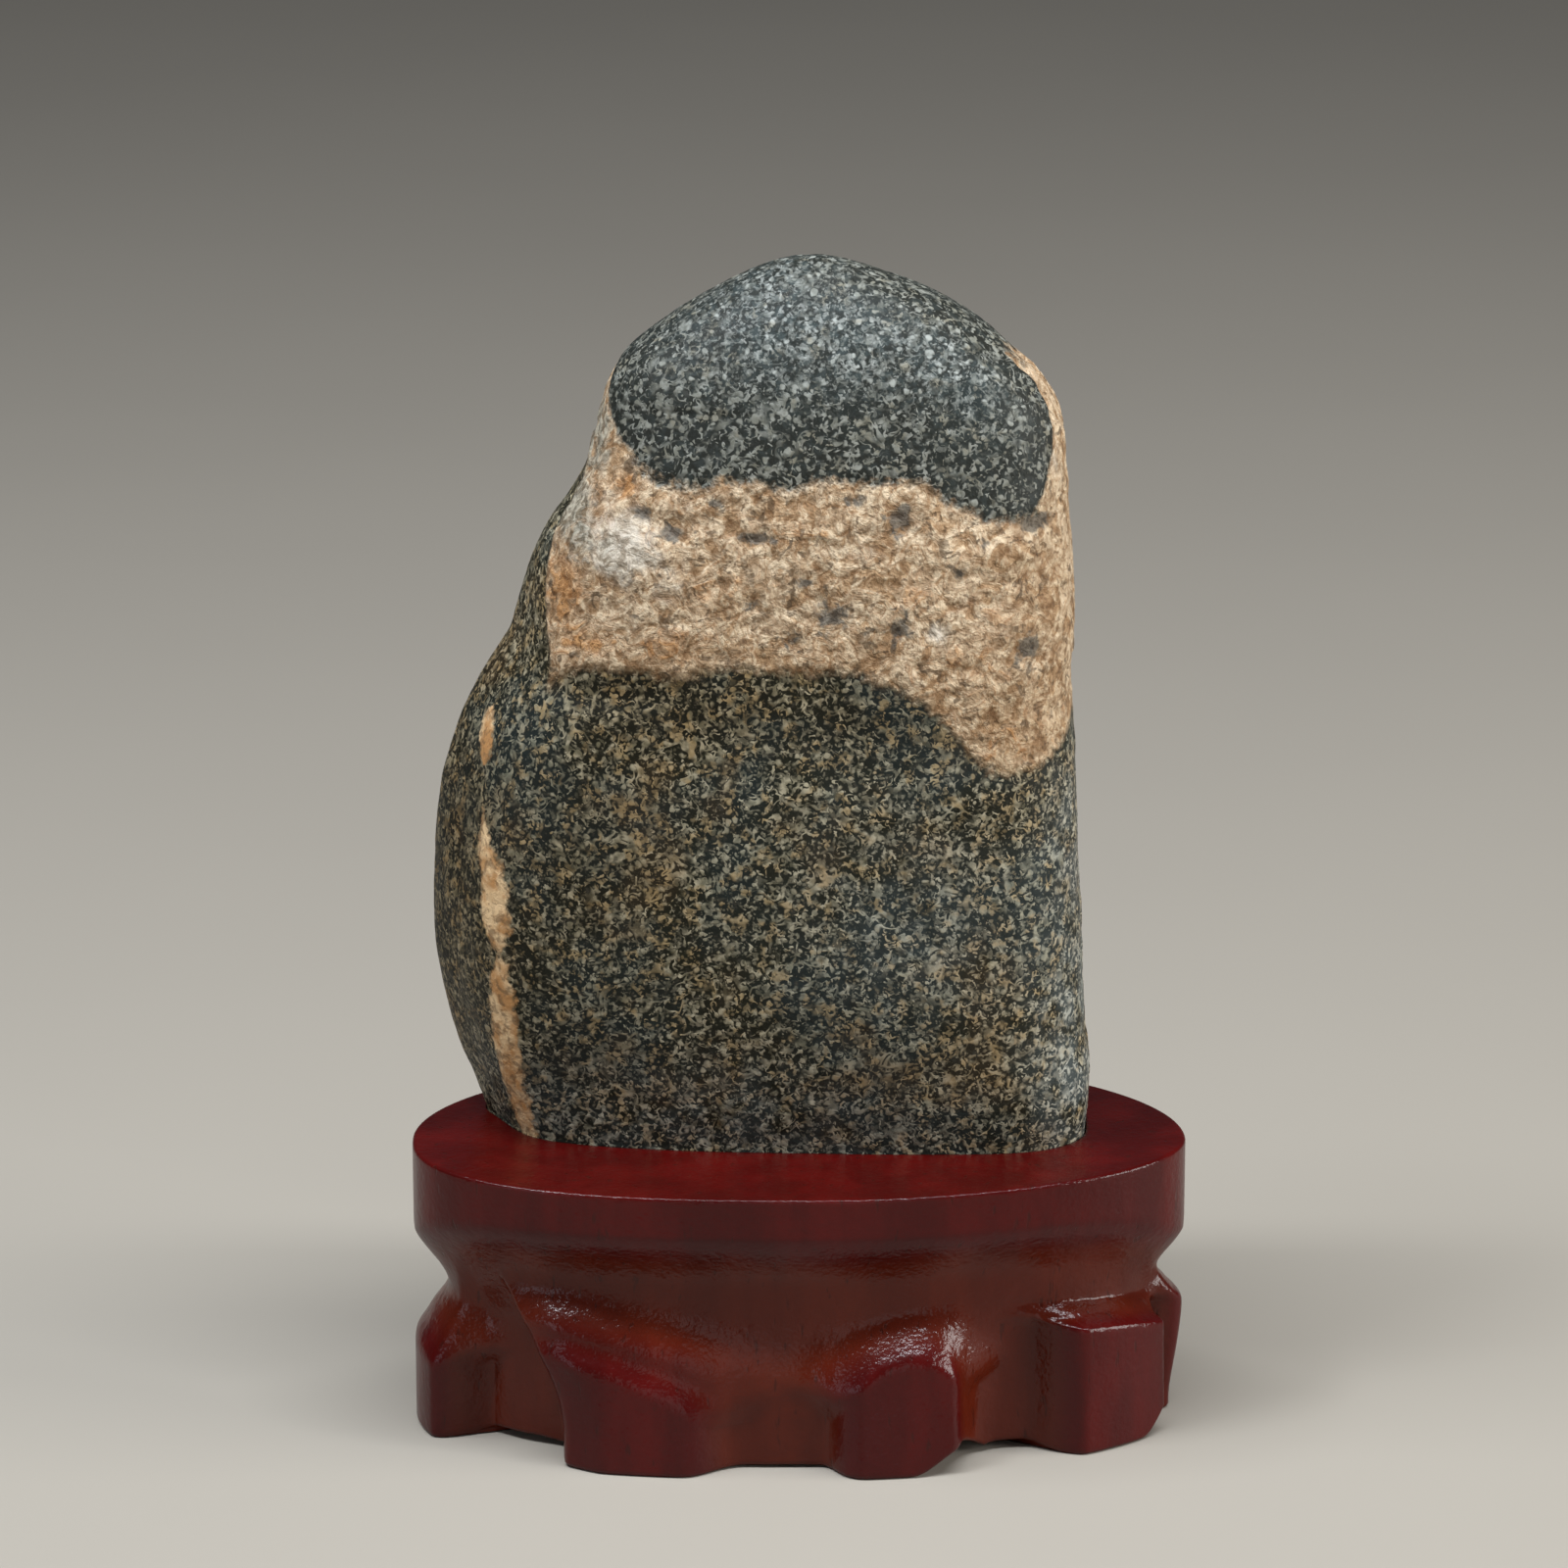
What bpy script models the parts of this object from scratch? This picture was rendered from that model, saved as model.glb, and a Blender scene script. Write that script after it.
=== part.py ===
"""A scholars rock: one upright natural stone resting in the shallow seat of its carved wooden stand."""

import math

import bpy
import numpy as np
from mathutils import Vector, noise

MM = 0.001

# Stand, in millimetres
STAND_LENGTH = 140.0
STAND_FRONT_DEPTH = 34.1
STAND_BACK_DEPTH = 44.5
STAND_HEIGHT = 53.0
OVAL_POWER_FRONT_LEFT = 2.5
OVAL_POWER_FRONT_RIGHT = 1.95
OVAL_POWER_BACK = 1.95
RIM_HEIGHT_SIDES = 8.4
RIM_HEIGHT_ENDS = 17.0
RIM_EDGE_ROUND = 0.6
COVE_HEIGHT = 11.0
WAIST_INSET = 6.4
FOOT_EDGE_ROUND = 0.9
LEVEL_GAP = 2.0
PAD_WIDTH = 14.0
PAD_STEP = 1.5
PAD_LIP = 0.3
UNDERSIDE_RECESS = 3.5
CENTRE_SHIFT = (0.0, 0.44)

# Stone, in millimetres, with heights measured from the top face of the stand
STONE_TOP = 160.5
STONE_PEAK = (4.0, 6.0)
SEAT_DEPTH = 5.0
SEAT_GAP = 0.3
SEAT_WALL_STEP = 0.6
SEAT_FLOOR_SHARE = 0.93
BASE_TUCK = 3.0
SOLE_SAG = 0.35
SOLE_RINGS = ((0.45, 0.3), (0.85, 0.2))
WEATHERING = 0.6
WEATHERING_SIZE = 34.0
RELIEF_FADE = 8.0
BASE_PLAN_TOP = 40.0
HEAD_PLAN_START = 80.0
HEAD_PLAN_RISE = 45.0
SHOULDER_BLUR = 12.0
SHOULDER_REACH = 0.22

# Mesh fineness
STAND_AROUND = 120
STAND_LEVELS = (5, 4, 4, 2)
STONE_BETWEEN_CONTROLS = 4
STONE_BODY_LEVELS = 26
STONE_CROWN_LEVELS = 8
STONE_CROWN_START = 144.0
CRISP_MESH_LINES = 4.5

# Surfaces
STONE_COLOUR = (0.10, 0.10, 0.085)
STONE_ROUGHNESS = 0.6
LACQUER_COLOUR = (0.16, 0.012, 0.012)
LACQUER_ROUGHNESS = 0.25
LACQUER_COAT = 0.6

# Outline of the stone seen from the front: x, height, from its left foot over the top to its right foot
FRONT_OUTLINE = [
    (-57.1, 0.0), (-59.2, 5.4), (-61.7, 11.0), (-63.9, 18.2), (-65.4, 25.0), (-66.3, 32.0),
    (-66.5, 40.0), (-66.1, 48.5), (-65.0, 59.0), (-63.4, 67.2), (-60.9, 75.2), (-57.5, 82.6),
    (-54.2, 88.0), (-52.3, 91.2), (-51.0, 95.6), (-49.3, 101.3), (-47.4, 107.0), (-44.7, 112.8),
    (-41.2, 118.4), (-38.5, 123.4), (-37.0, 128.0), (-35.5, 133.0), (-33.7, 138.4), (-30.4, 143.2),
    (-26.2, 146.8), (-20.8, 150.9), (-14.8, 154.3), (-8.7, 157.5), (-2.3, 159.9), (4.2, 160.5),
    (10.3, 159.1), (16.3, 156.7), (22.9, 154.0), (29.3, 150.3), (35.2, 145.8), (40.3, 141.6),
    (44.2, 137.0), (46.5, 131.6), (47.7, 123.0), (48.3, 113.7), (49.3, 101.6), (49.3, 91.6),
    (48.7, 85.8), (49.2, 79.0), (50.1, 64.4), (50.5, 52.0), (51.3, 36.6), (51.7, 22.0),
    (52.6, 10.9), (52.0, 0.0),
]

# Outline of the stone seen from its right: y, height, from its front foot over the top to its back foot
SIDE_OUTLINE = [
    (-15.0, 0.0), (-16.8, 12.0), (-18.9, 28.0), (-20.2, 48.0), (-20.4, 68.0), (-19.6, 88.0),
    (-18.2, 106.0), (-16.8, 119.0), (-14.6, 131.0), (-11.2, 142.0), (-5.6, 152.2), (0.4, 158.4),
    (6.0, 160.5), (11.6, 158.7), (17.6, 153.6), (22.4, 146.0), (25.8, 134.0), (28.0, 118.0),
    (29.4, 98.0), (30.0, 74.0), (29.4, 48.0), (27.4, 24.0), (24.6, 10.0), (22.4, 0.0),
]

# Plan outlines of the stone as shares of its half width and half depth, counter-clockwise from the right side
BASE_PLAN = [
    (1.00, -0.10), (0.97, 0.45), (0.80, 0.82), (0.42, 0.98), (-0.05, 1.00), (-0.48, 0.97),
    (-0.83, 0.80), (-1.00, 0.45), (-0.945, -0.02), (-0.835, -0.50), (-0.65, -0.74), (-0.32, -0.91),
    (0.05, -0.98), (0.45, -1.02), (0.79, -0.96), (0.965, -0.62),
]
BODY_PLAN = [
    (1.00, -0.05), (0.97, 0.45), (0.82, 0.80), (0.45, 0.98), (0.00, 1.00), (-0.45, 0.98),
    (-0.83, 0.80), (-1.00, 0.36), (-0.925, -0.18), (-0.805, -0.63), (-0.62, -0.84), (-0.30, -0.95),
    (0.08, -1.00), (0.48, -1.01), (0.80, -0.90), (0.965, -0.52),
]
HEAD_PLAN = [
    (1.00, 0.00), (0.94, 0.45), (0.75, 0.75), (0.45, 0.94), (0.00, 1.00), (-0.45, 0.94),
    (-0.75, 0.75), (-0.94, 0.42), (-1.00, -0.02), (-0.91, -0.50), (-0.69, -0.80), (-0.38, -0.96),
    (0.02, -1.00), (0.45, -0.97), (0.77, -0.80), (0.95, -0.45),
]

# Swellings and hollows on the stone: x, side (-1 front, +1 back), height, radii in x and height, rise
STONE_LUMPS = [
    (-30.0, -1, 111.0, 8.0, 8.0, 1.5),
    (-24.0, -1, 117.0, 10.0, 1.8, -0.9),
    (36.0, -1, 112.0, 8.0, 3.0, 1.0),
    (32.0, -1, 68.0, 8.0, 6.0, 0.8),
    (-34.0, -1, 86.0, 14.0, 3.0, -1.0),
    (10.0, -1, 30.0, 26.0, 18.0, 0.9),
    (8.0, -1, 78.0, 20.0, 10.0, -0.6),
    (22.0, 1, 40.0, 16.0, 20.0, 1.2),
    (-30.0, 1, 70.0, 18.0, 14.0, -1.2),
    (6.0, 1, 110.0, 22.0, 16.0, 0.9),
]

# Feet of the stand, counter-clockwise from the right end. Angles are in degrees, heights in millimetres:
# first and last edge of the face, softness of both edges (below 0 where the flank beside it is scooped out),
# width of the facet beside the first edge, height of the face at both edges, rise of its arched top,
# how far it stands out past the oval at its lower edge, height of the shoulder's top at both edges,
# share of the shoulder's lower step, and where its upper step starts
FEET = [
    (-3.0, 25.0, 2.5, 5.0, 4.0, 21.0, 19.0, 1.0, -2.2, 30.0, 28.0, 0.3, 0.2),
    (48.0, 74.0, 5.0, 2.0, 5.0, 15.0, 22.0, 1.0, 0.0, 25.0, 32.0, 0.3, 0.2),
    (92.0, 116.0, 2.0, 5.0, 6.0, 20.0, 17.0, 1.5, 0.0, 30.0, 27.0, 0.3, 0.2),
    (133.0, 150.0, 3.0, 3.0, 4.0, 21.0, 16.0, 1.0, 0.0, 30.0, 25.0, 0.3, 0.2),
    (165.0, 208.0, 3.0, 9.0, 5.0, 14.5, 13.5, 1.5, 0.0, 26.5, 26.0, 0.3, 0.2),
    (234.0, 257.5, 1.4, 9.0, 7.0, 20.0, 8.4, 2.2, 0.6, 32.6, 28.5, 0.36, 0.42),
    (275.2, 297.0, 2.4, -6.0, 3.6, 10.5, 13.0, 9.0, 1.2, 28.0, 31.0, 0.12, 0.0),
    (310.0, 344.0, -15.0, 4.0, 2.6, 24.6, 20.6, 0.6, 0.4, 28.4, 25.6, 0.5, 0.3),
]
FACET_SHARE = 0.35

# Hollows between the feet: first and last edge, softness of both edges, depth behind the waist,
# height where the hollow starts, height over which it deepens, height of the arch below it
HOLLOWS = [
    (343.0, 358.0, 5.0, 3.0, 1.0, 26.0, 12.0, 0.8),
    (24.0, 49.0, 9.0, 9.0, 3.0, 27.0, 14.0, 1.4),
    (74.0, 92.0, 5.0, 5.0, 2.5, 28.0, 14.0, 1.0),
    (116.0, 133.0, 9.0, 6.0, 3.5, 28.0, 14.0, 1.6),
    (149.0, 166.0, 6.0, 6.0, 2.5, 24.0, 12.0, 1.2),
    (208.0, 234.0, 11.0, 1.4, 3.8, 36.0, 15.0, 1.4),
    (258.0, 276.0, 9.0, 6.0, -1.2, 24.0, 14.0, 0.4),
    (299.0, 313.0, 12.0, 8.0, 2.2, 33.0, 13.0, 1.5),
]

# One edge leans towards the left end as it rises: degrees for each squared millimetre above a height
LEANING_EDGE = 234.0
LEAN = -0.018
LEAN_START = 5.0
DRIFT_REACH = 26.0
DRIFT_TOP = 33.0

# The shoulder above a face is wider and softer than the face
LOWER_STEP = 0.35
SHOULDER_SPREAD = 4.5
SHOULDER_SOFTNESS = 12.0

# Bottom corners cut off the feet: first and last angle, height of the cut at the last one, length of its end
CUT_CORNERS = [(286.5, 295.4, 4.8, 7.0), (333.0, 346.0, 6.0, 1.6)]

# Edges of the feet: flat up to the first softness, fully rounded from the second, and the curve of a scoop
CRISP_EDGE = 3.0
SOFT_EDGE = 6.0
SCOOP_POWER = 2.0


def ease(x):
    """0 below 0, 1 above 1, and a smooth rise between."""
    x = np.clip(x, 0.0, 1.0)
    return x * x * (3.0 - 2.0 * x)


def curve_through(points, between, closed=False):
    """A smooth curve through the points, with this many samples for each stretch."""
    p = np.asarray(points, float)
    if closed:
        p = np.vstack([p[-1], p, p[0], p[1]])
    else:
        p = np.vstack([2 * p[0] - p[1], p, 2 * p[-1] - p[-2]])
    t = np.arange(between)[:, None] / between
    out = []
    for k in range(1, len(p) - 2):
        a, b, c, d = p[k - 1 : k + 3]
        out.append(
            0.5 * (2 * b + (c - a) * t + (2 * a - 5 * b + 4 * c - d) * t**2)
            + 0.5 * (3 * b - a - 3 * c + d) * t**3
        )
    if not closed:
        out.append(p[-2][None, :])
    return np.vstack(out)


def two_sides(outline):
    """An outline over the top of the stone as two functions of height: its first side and its second."""
    line = curve_through(outline, 12)
    peak = int(np.argmax(line[:, 1]))
    rise, fall = line[: peak + 1], line[peak:][::-1]
    rise_h = np.maximum.accumulate(rise[:, 1])
    fall_h = np.maximum.accumulate(fall[:, 1])
    share_rise = STONE_TOP / rise_h[-1]
    share_fall = STONE_TOP / fall_h[-1]
    return (
        lambda h: np.interp(h, rise_h * share_rise, rise[:, 0]),
        lambda h: np.interp(h, fall_h * share_fall, fall[:, 0]),
    )


LEFT, RIGHT = two_sides(FRONT_OUTLINE)
FRONT, BACK = two_sides(SIDE_OUTLINE)


def stone_plan(height, between):
    """The closed outline of the stone at one height."""
    h = max(height, 0.0)
    low = float(ease(1.0 - h / BASE_PLAN_TOP))
    high = float(ease((h - HEAD_PLAN_START) / HEAD_PLAN_RISE))
    plan = np.asarray(BODY_PLAN) * (1.0 - low - high)
    plan = plan + np.asarray(BASE_PLAN) * low + np.asarray(HEAD_PLAN) * high
    ring = curve_through(plan, between, closed=True)
    span = ring.max(axis=0) - ring.min(axis=0)
    ring = (ring - ring.min(axis=0)) / span
    nearby = np.linspace(h - SHOULDER_BLUR, h + SHOULDER_BLUR, 9)
    even_left = float(np.mean(LEFT(nearby))) if h < STONE_TOP - 2 * SHOULDER_BLUR else LEFT(h)
    at_left = ease((SHOULDER_REACH - ring[:, 0]) / SHOULDER_REACH)
    left = even_left + (LEFT(h) - even_left) * at_left
    x = left + ring[:, 0] * (RIGHT(h) - left)
    y = FRONT(h) + ring[:, 1] * (BACK(h) - FRONT(h))
    ring = np.stack([x, y], axis=1)
    if height < 0.0:
        sunk = min(-height / SEAT_DEPTH, 1.0)
        ring = ring - outward(ring) * BASE_TUCK * (1.0 - math.sqrt(1.0 - 0.9 * sunk * sunk))
    return ring


def outward(ring):
    """Unit normals of a counter-clockwise outline."""
    along = np.roll(ring, -1, axis=0) - np.roll(ring, 1, axis=0)
    normal = np.stack([along[:, 1], -along[:, 0]], axis=1)
    return normal / np.linalg.norm(normal, axis=1, keepdims=True)


def grid_normals(rows):
    around = np.roll(rows, -1, axis=1) - np.roll(rows, 1, axis=1)
    along = np.gradient(rows, axis=0)
    normal = np.cross(around, along)
    length = np.linalg.norm(normal, axis=2, keepdims=True)
    return normal / np.maximum(length, 1e-9)


def fractal(points, size, octaves, seed):
    """Smooth seeded roughness between about -1 and 1 at each point."""
    shift = Vector((seed * 17.3, seed * 5.1, seed * 9.7))
    flat = points.reshape(-1, 3) / size
    values = [noise.fractal(Vector(p) + shift, 1.0, 2.0, octaves) for p in flat]
    return np.array(values).reshape(points.shape[:-1])


def stone_relief(rows):
    """How far each point of the stone stands out from its smooth form."""
    x, y, h = rows[..., 0], rows[..., 1], rows[..., 2]
    middle = 0.5 * (FRONT(np.clip(h, 0, STONE_TOP)) + BACK(np.clip(h, 0, STONE_TOP)))
    out = WEATHERING * fractal(rows, WEATHERING_SIZE, 3, 3)
    for cx, side, ch, rx, rh, rise in STONE_LUMPS:
        facing = ease(0.5 + side * (y - middle) / RELIEF_FADE)
        out = out + facing * rise * np.exp(-(((x - cx) / rx) ** 2) - ((h - ch) / rh) ** 2)
    return out * ease((h - 1.0) / RELIEF_FADE) * ease((STONE_TOP - h) / RELIEF_FADE + 0.5)


def grid_object(name, rows, colour, roughness, coat):
    """A closed body from rings of points that start and end in a single point."""
    count = rows[1].shape[0]
    points = [rows[0][0]]
    for ring in rows[1:-1]:
        points.extend(ring)
    points.append(rows[-1][0])
    last = len(points) - 1
    faces = [(0, 1 + (i + 1) % count, 1 + i) for i in range(count)]
    for j in range(len(rows) - 3):
        for i in range(count):
            k = (i + 1) % count
            a, b = 1 + j * count, 1 + (j + 1) * count
            faces.append((a + i, a + k, b + k, b + i))
    top = 1 + (len(rows) - 3) * count
    faces.extend((top + i, top + (i + 1) % count, last) for i in range(count))
    mesh = bpy.data.meshes.new(name)
    shift = np.array([*CENTRE_SHIFT, 0.0])
    mesh.from_pydata([tuple((np.asarray(p, float) + shift) * MM) for p in points], [], faces)
    mesh.shade_smooth()
    mesh.validate()
    obj = bpy.data.objects.new(name, mesh)
    bpy.context.scene.collection.objects.link(obj)
    material = bpy.data.materials.new(name)
    material.use_nodes = True
    shader = material.node_tree.nodes["Principled BSDF"]
    shader.inputs["Base Color"].default_value = (*colour, 1.0)
    shader.inputs["Roughness"].default_value = roughness
    shader.inputs["Coat Weight"].default_value = coat
    material.diffuse_color = (*colour, 1.0)
    mesh.materials.append(material)
    return obj


def make_stone():
    body = np.linspace(-SEAT_DEPTH, STONE_CROWN_START, STONE_BODY_LEVELS)
    steps = np.linspace(0.0, 1.0, STONE_CROWN_LEVELS + 1)[1:-1]
    crown = STONE_TOP - (STONE_TOP - STONE_CROWN_START) * (1.0 - steps) ** 2
    heights = np.concatenate([body, crown])
    rows = []
    for h in heights:
        ring = stone_plan(h, STONE_BETWEEN_CONTROLS)
        rows.append(np.column_stack([ring, np.full(len(ring), h)]))
    rows = np.array(rows)
    rows = rows + grid_normals(rows) * stone_relief(rows)[..., None]
    sole = rows[0]
    centre = sole.mean(axis=0)
    under = [centre + (sole - centre) * share - np.array([0, 0, sag]) for share, sag in SOLE_RINGS]
    peak = np.array([[*STONE_PEAK, STONE_TOP]])
    rows = [np.array([centre - np.array([0, 0, SOLE_SAG])]), *under, *rows, peak]
    rows = [ring + np.array([0, 0, STAND_HEIGHT]) for ring in rows]
    return grid_object("stone", rows, STONE_COLOUR, STONE_ROUGHNESS, 0.0)


def oval(angles):
    """The outer oval of the stand and its inward unit normals."""

    def at(t):
        c, s = np.cos(t), np.sin(t)
        front_power = OVAL_POWER_FRONT_LEFT + (OVAL_POWER_FRONT_RIGHT - OVAL_POWER_FRONT_LEFT) * ease(0.5 + c)
        power = np.where(s < 0, front_power, OVAL_POWER_BACK)
        depth = np.where(s < 0, STAND_FRONT_DEPTH, STAND_BACK_DEPTH)
        reach = (np.abs(c) ** power + np.abs(s) ** power) ** (-1.0 / power)
        y = depth * s * reach + 0.5 * (STAND_FRONT_DEPTH - STAND_BACK_DEPTH)
        return np.stack([STAND_LENGTH / 2 * c * reach, y], axis=-1)

    step = 1e-3
    along = at(angles + step) - at(angles - step)
    normal = np.stack([-along[..., 1], along[..., 0]], axis=-1)
    return at(angles), normal / np.linalg.norm(normal, axis=-1, keepdims=True)


def around(angle, other):
    """Signed difference of two angles in degrees."""
    return (angle - other + 180.0) % 360.0 - 180.0


def rim_foot(degrees):
    """Height of the lower edge of the rim."""
    c = np.abs(np.cos(np.radians(degrees)))
    return STAND_HEIGHT - RIM_HEIGHT_SIDES - (RIM_HEIGHT_ENDS - RIM_HEIGHT_SIDES) * c**8


def side_edge(x, soft):
    """0 before an edge and 1 past it: a flat facet if crisp, a round one if soft, or a scoop."""
    x = np.clip(x / np.abs(soft) + 0.5, 0.0, 1.0)
    rounded = ease((soft - CRISP_EDGE) / (SOFT_EDGE - CRISP_EDGE))
    return np.where(np.less(soft, 0.0), x**SCOOP_POWER, ease(x) * rounded + x * (1.0 - rounded))


def between_edges(degrees, first, last, soft_first, soft_last, facet=0.0):
    """1 between two edges and 0 outside them. A facet follows the first edge."""
    middle, half = 0.5 * (first + last), 0.5 * (last - first)
    away = around(degrees, middle)
    rise = side_edge(away + half, soft_first)
    if facet:
        rise = rise * (1.0 - FACET_SHARE * (1.0 - np.clip((away + half) / facet, 0.0, 1.0)))
    return rise * side_edge(half - away, soft_last)


def arch_height(degrees):
    """Height of the lower edge of the stand above the table."""
    out = np.zeros_like(degrees)
    for first, last, _, _, _, _, _, rise in HOLLOWS:
        half = 0.5 * (last - first)
        out = np.maximum(out, rise * ease(1.35 - np.abs(around(degrees, first + half)) / half))
    for first, last, rise, end in CUT_CORNERS:
        climb = ease(around(degrees, first) / (last - first))
        out = np.maximum(out, rise * climb * np.clip(around(last + end, degrees) / end, 0.0, 1.0))
    return out


def foot_marks(foot, degrees):
    """Height of a foot's face and of the shoulder above it, held level past the foot's edges."""
    first, last, _, _, _, high_first, high_last, arch, _, top_first, top_last, *_ = foot
    share = np.clip(around(degrees, 0.5 * (first + last)) / (last - first) + 0.5, 0.0, 1.0)
    crest = high_first + (high_last - high_first) * share + arch * (1.0 - (2.0 * share - 1.0) ** 2)
    return crest, top_first + (top_last - top_first) * share


def flank_marks(degrees):
    """The same two heights all round the flank, carried on across the hollows between the feet."""
    turns = np.concatenate([np.linspace(foot[0], foot[1], 7) for foot in FEET])
    heights = np.concatenate([foot_marks(foot, np.linspace(foot[0], foot[1], 7)) for foot in FEET], axis=1)
    return [np.interp(degrees, turns, line, period=360.0) for line in heights]


def leaning(z):
    """How far the leaning edge has moved at a height, in degrees."""
    return LEAN * np.maximum(z - LEAN_START, 0.0) ** 2


def leaned(edge, z):
    """An edge of a foot at a height: the leaning one moves, the others stand upright."""
    return edge + leaning(z) if edge == LEANING_EDGE else edge


def carving(degrees, z):
    """How far the flank of the stand is cut in behind the oval."""
    down = np.clip((rim_foot(degrees) - z) / COVE_HEIGHT, 0.0, 1.0)
    inset = WAIST_INSET * 0.5 * (ease(down) + 1.0 - (1.0 - down) ** 1.8)
    for first, last, soft_first, soft_last, depth, start, fade, _ in HOLLOWS:
        across = between_edges(degrees, leaned(first, z), leaned(last, z), soft_first, soft_last)
        inset = inset + depth * across * ease((start - z) / fade)
    for foot in FEET:
        first, last, soft_first, soft_last, facet, _, _, _, forward, _, _, lower, upper_start = foot
        crest, top = foot_marks(foot, degrees)
        up = np.clip((z - crest) / (top - crest), 0.0, 1.0)
        spread = ease(up / LOWER_STEP)
        free = 0.0 if first == LEANING_EDGE else spread
        side = between_edges(
            degrees,
            leaned(first, z) - SHOULDER_SPREAD * free,
            last + SHOULDER_SPREAD * spread,
            soft_first + np.sign(soft_first) * SHOULDER_SOFTNESS * free,
            soft_last + np.sign(soft_last) * SHOULDER_SOFTNESS * spread,
            facet,
        )
        upper = ease((up - upper_start) / (1.0 - upper_start))
        out = 1.0 - lower * spread - (1.0 - lower) * upper
        inset = inset * (1.0 - side * out) - forward * side * out * ease((crest - z) / crest)
    return inset


def edge_drift(degrees, z):
    """Shift that lets the mesh lines follow the leaning edge."""
    near = np.exp(-((around(degrees, LEANING_EDGE) / DRIFT_REACH) ** 2))
    fade = ease((STAND_HEIGHT - LEVEL_GAP - z) / (STAND_HEIGHT - LEVEL_GAP - DRIFT_TOP))
    return leaning(np.minimum(z, DRIFT_TOP)) * near * fade


def stand_angles(count):
    """Angles all round, with lines moved onto the crisp edges of the feet."""
    degrees = np.linspace(0.0, 360.0, count, endpoint=False)
    for foot in FEET:
        for edge, soft in ((foot[0], foot[2]), (foot[1], foot[3])):
            if soft < CRISP_MESH_LINES:
                for target in (edge - abs(soft) / 2, edge + abs(soft) / 2):
                    degrees[np.argmin(np.abs(around(degrees, target)))] = target
        degrees[np.argmin(np.abs(around(degrees, foot[0] + foot[4])))] = foot[0] + foot[4]
    return np.sort(degrees)


def stand_flank(degrees, level):
    """One ring of the flank. Levels 0 to 4: lower edge, crest of the feet, waist, rim and top of the rim."""
    low = arch_height(degrees)
    crest, top = flank_marks(degrees)
    crest = np.maximum(crest, low + LEVEL_GAP)
    rim = rim_foot(degrees)
    waist = np.minimum(top, rim - LEVEL_GAP)
    marks = [low + FOOT_EDGE_ROUND, crest, waist, rim, np.full_like(low, STAND_HEIGHT - RIM_EDGE_ROUND)]
    step = min(int(level), 3)
    z = marks[step] + (marks[step + 1] - marks[step]) * (level - step)
    turned = degrees + edge_drift(degrees, z)
    base, inward = oval(np.radians(turned))
    flat = base + inward * carving(turned, z)[:, None]
    return np.column_stack([flat, z])


def seat_ring(turn_round, height):
    """The outline of the seat at one height: the stone's own outline with the gap round it."""
    ring = stone_plan(height, 24)
    ring = ring + outward(ring) * SEAT_GAP
    turn = np.arctan2(ring[:, 1], ring[:, 0]) % (2 * math.pi)
    order = np.argsort(turn)
    reach = np.interp(turn_round, turn[order], np.hypot(ring[:, 0], ring[:, 1])[order], period=2 * math.pi)
    return np.stack([np.cos(turn_round) * reach, np.sin(turn_round) * reach], axis=1)


def make_stand():
    degrees = stand_angles(STAND_AROUND)
    levels = []
    for start, count in enumerate(STAND_LEVELS):
        levels.extend(start + np.arange(count) / count)
    flank = [stand_flank(degrees, level) for level in (*levels, 4.0)]
    base, inward = oval(np.radians(degrees))
    low = arch_height(degrees)
    edge = np.column_stack([flank[0][:, :2] + inward * FOOT_EDGE_ROUND, low])
    reach = np.hypot(edge[:, 0], edge[:, 1])[:, None]
    pad_line = edge[:, :2] * (1.0 - PAD_WIDTH / reach)
    recess_line = edge[:, :2] * (1.0 - (PAD_WIDTH + PAD_STEP) / reach)
    pad = np.column_stack([pad_line, np.minimum(low, UNDERSIDE_RECESS - PAD_LIP)])
    recess = np.column_stack([recess_line, np.full(len(base), UNDERSIDE_RECESS)])
    rows = [np.array([[0.0, 0.0, UNDERSIDE_RECESS]]), recess, pad, edge, *flank]
    full = np.ones(len(base))
    bevel = RIM_EDGE_ROUND * 0.3
    rows.append(np.column_stack([base + inward * bevel, full * (STAND_HEIGHT - bevel)]))
    rim = base + inward * RIM_EDGE_ROUND
    rows.append(np.column_stack([rim, full * STAND_HEIGHT]))
    turn = np.arctan2(base[:, 1], base[:, 0]) % (2 * math.pi)
    mouth = seat_ring(turn, 0.0)
    rows.append(np.column_stack([0.5 * (rim + mouth), full * STAND_HEIGHT]))
    rows.append(np.column_stack([mouth, full * STAND_HEIGHT]))
    for height in (-SEAT_DEPTH * SEAT_WALL_STEP, -SEAT_DEPTH):
        rows.append(np.column_stack([seat_ring(turn, height), full * (STAND_HEIGHT + height)]))
    floor_height = STAND_HEIGHT - SEAT_DEPTH - SOLE_SAG - SEAT_GAP
    wall_foot = rows[-1][:, :2]
    centre = wall_foot.mean(axis=0)
    rows.append(np.column_stack([centre + (wall_foot - centre) * SEAT_FLOOR_SHARE, full * floor_height]))
    rows.append(np.array([[*centre, floor_height]]))
    return grid_object("stand", rows, LACQUER_COLOUR, LACQUER_ROUGHNESS, LACQUER_COAT)


for leftover in list(bpy.data.objects):
    bpy.data.objects.remove(leftover, do_unlink=True)
make_stand()
make_stone()
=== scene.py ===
"""A scholars rock on its carved stand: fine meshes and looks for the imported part."""

import math

import bpy
import numpy as np
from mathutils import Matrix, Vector, noise


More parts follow.
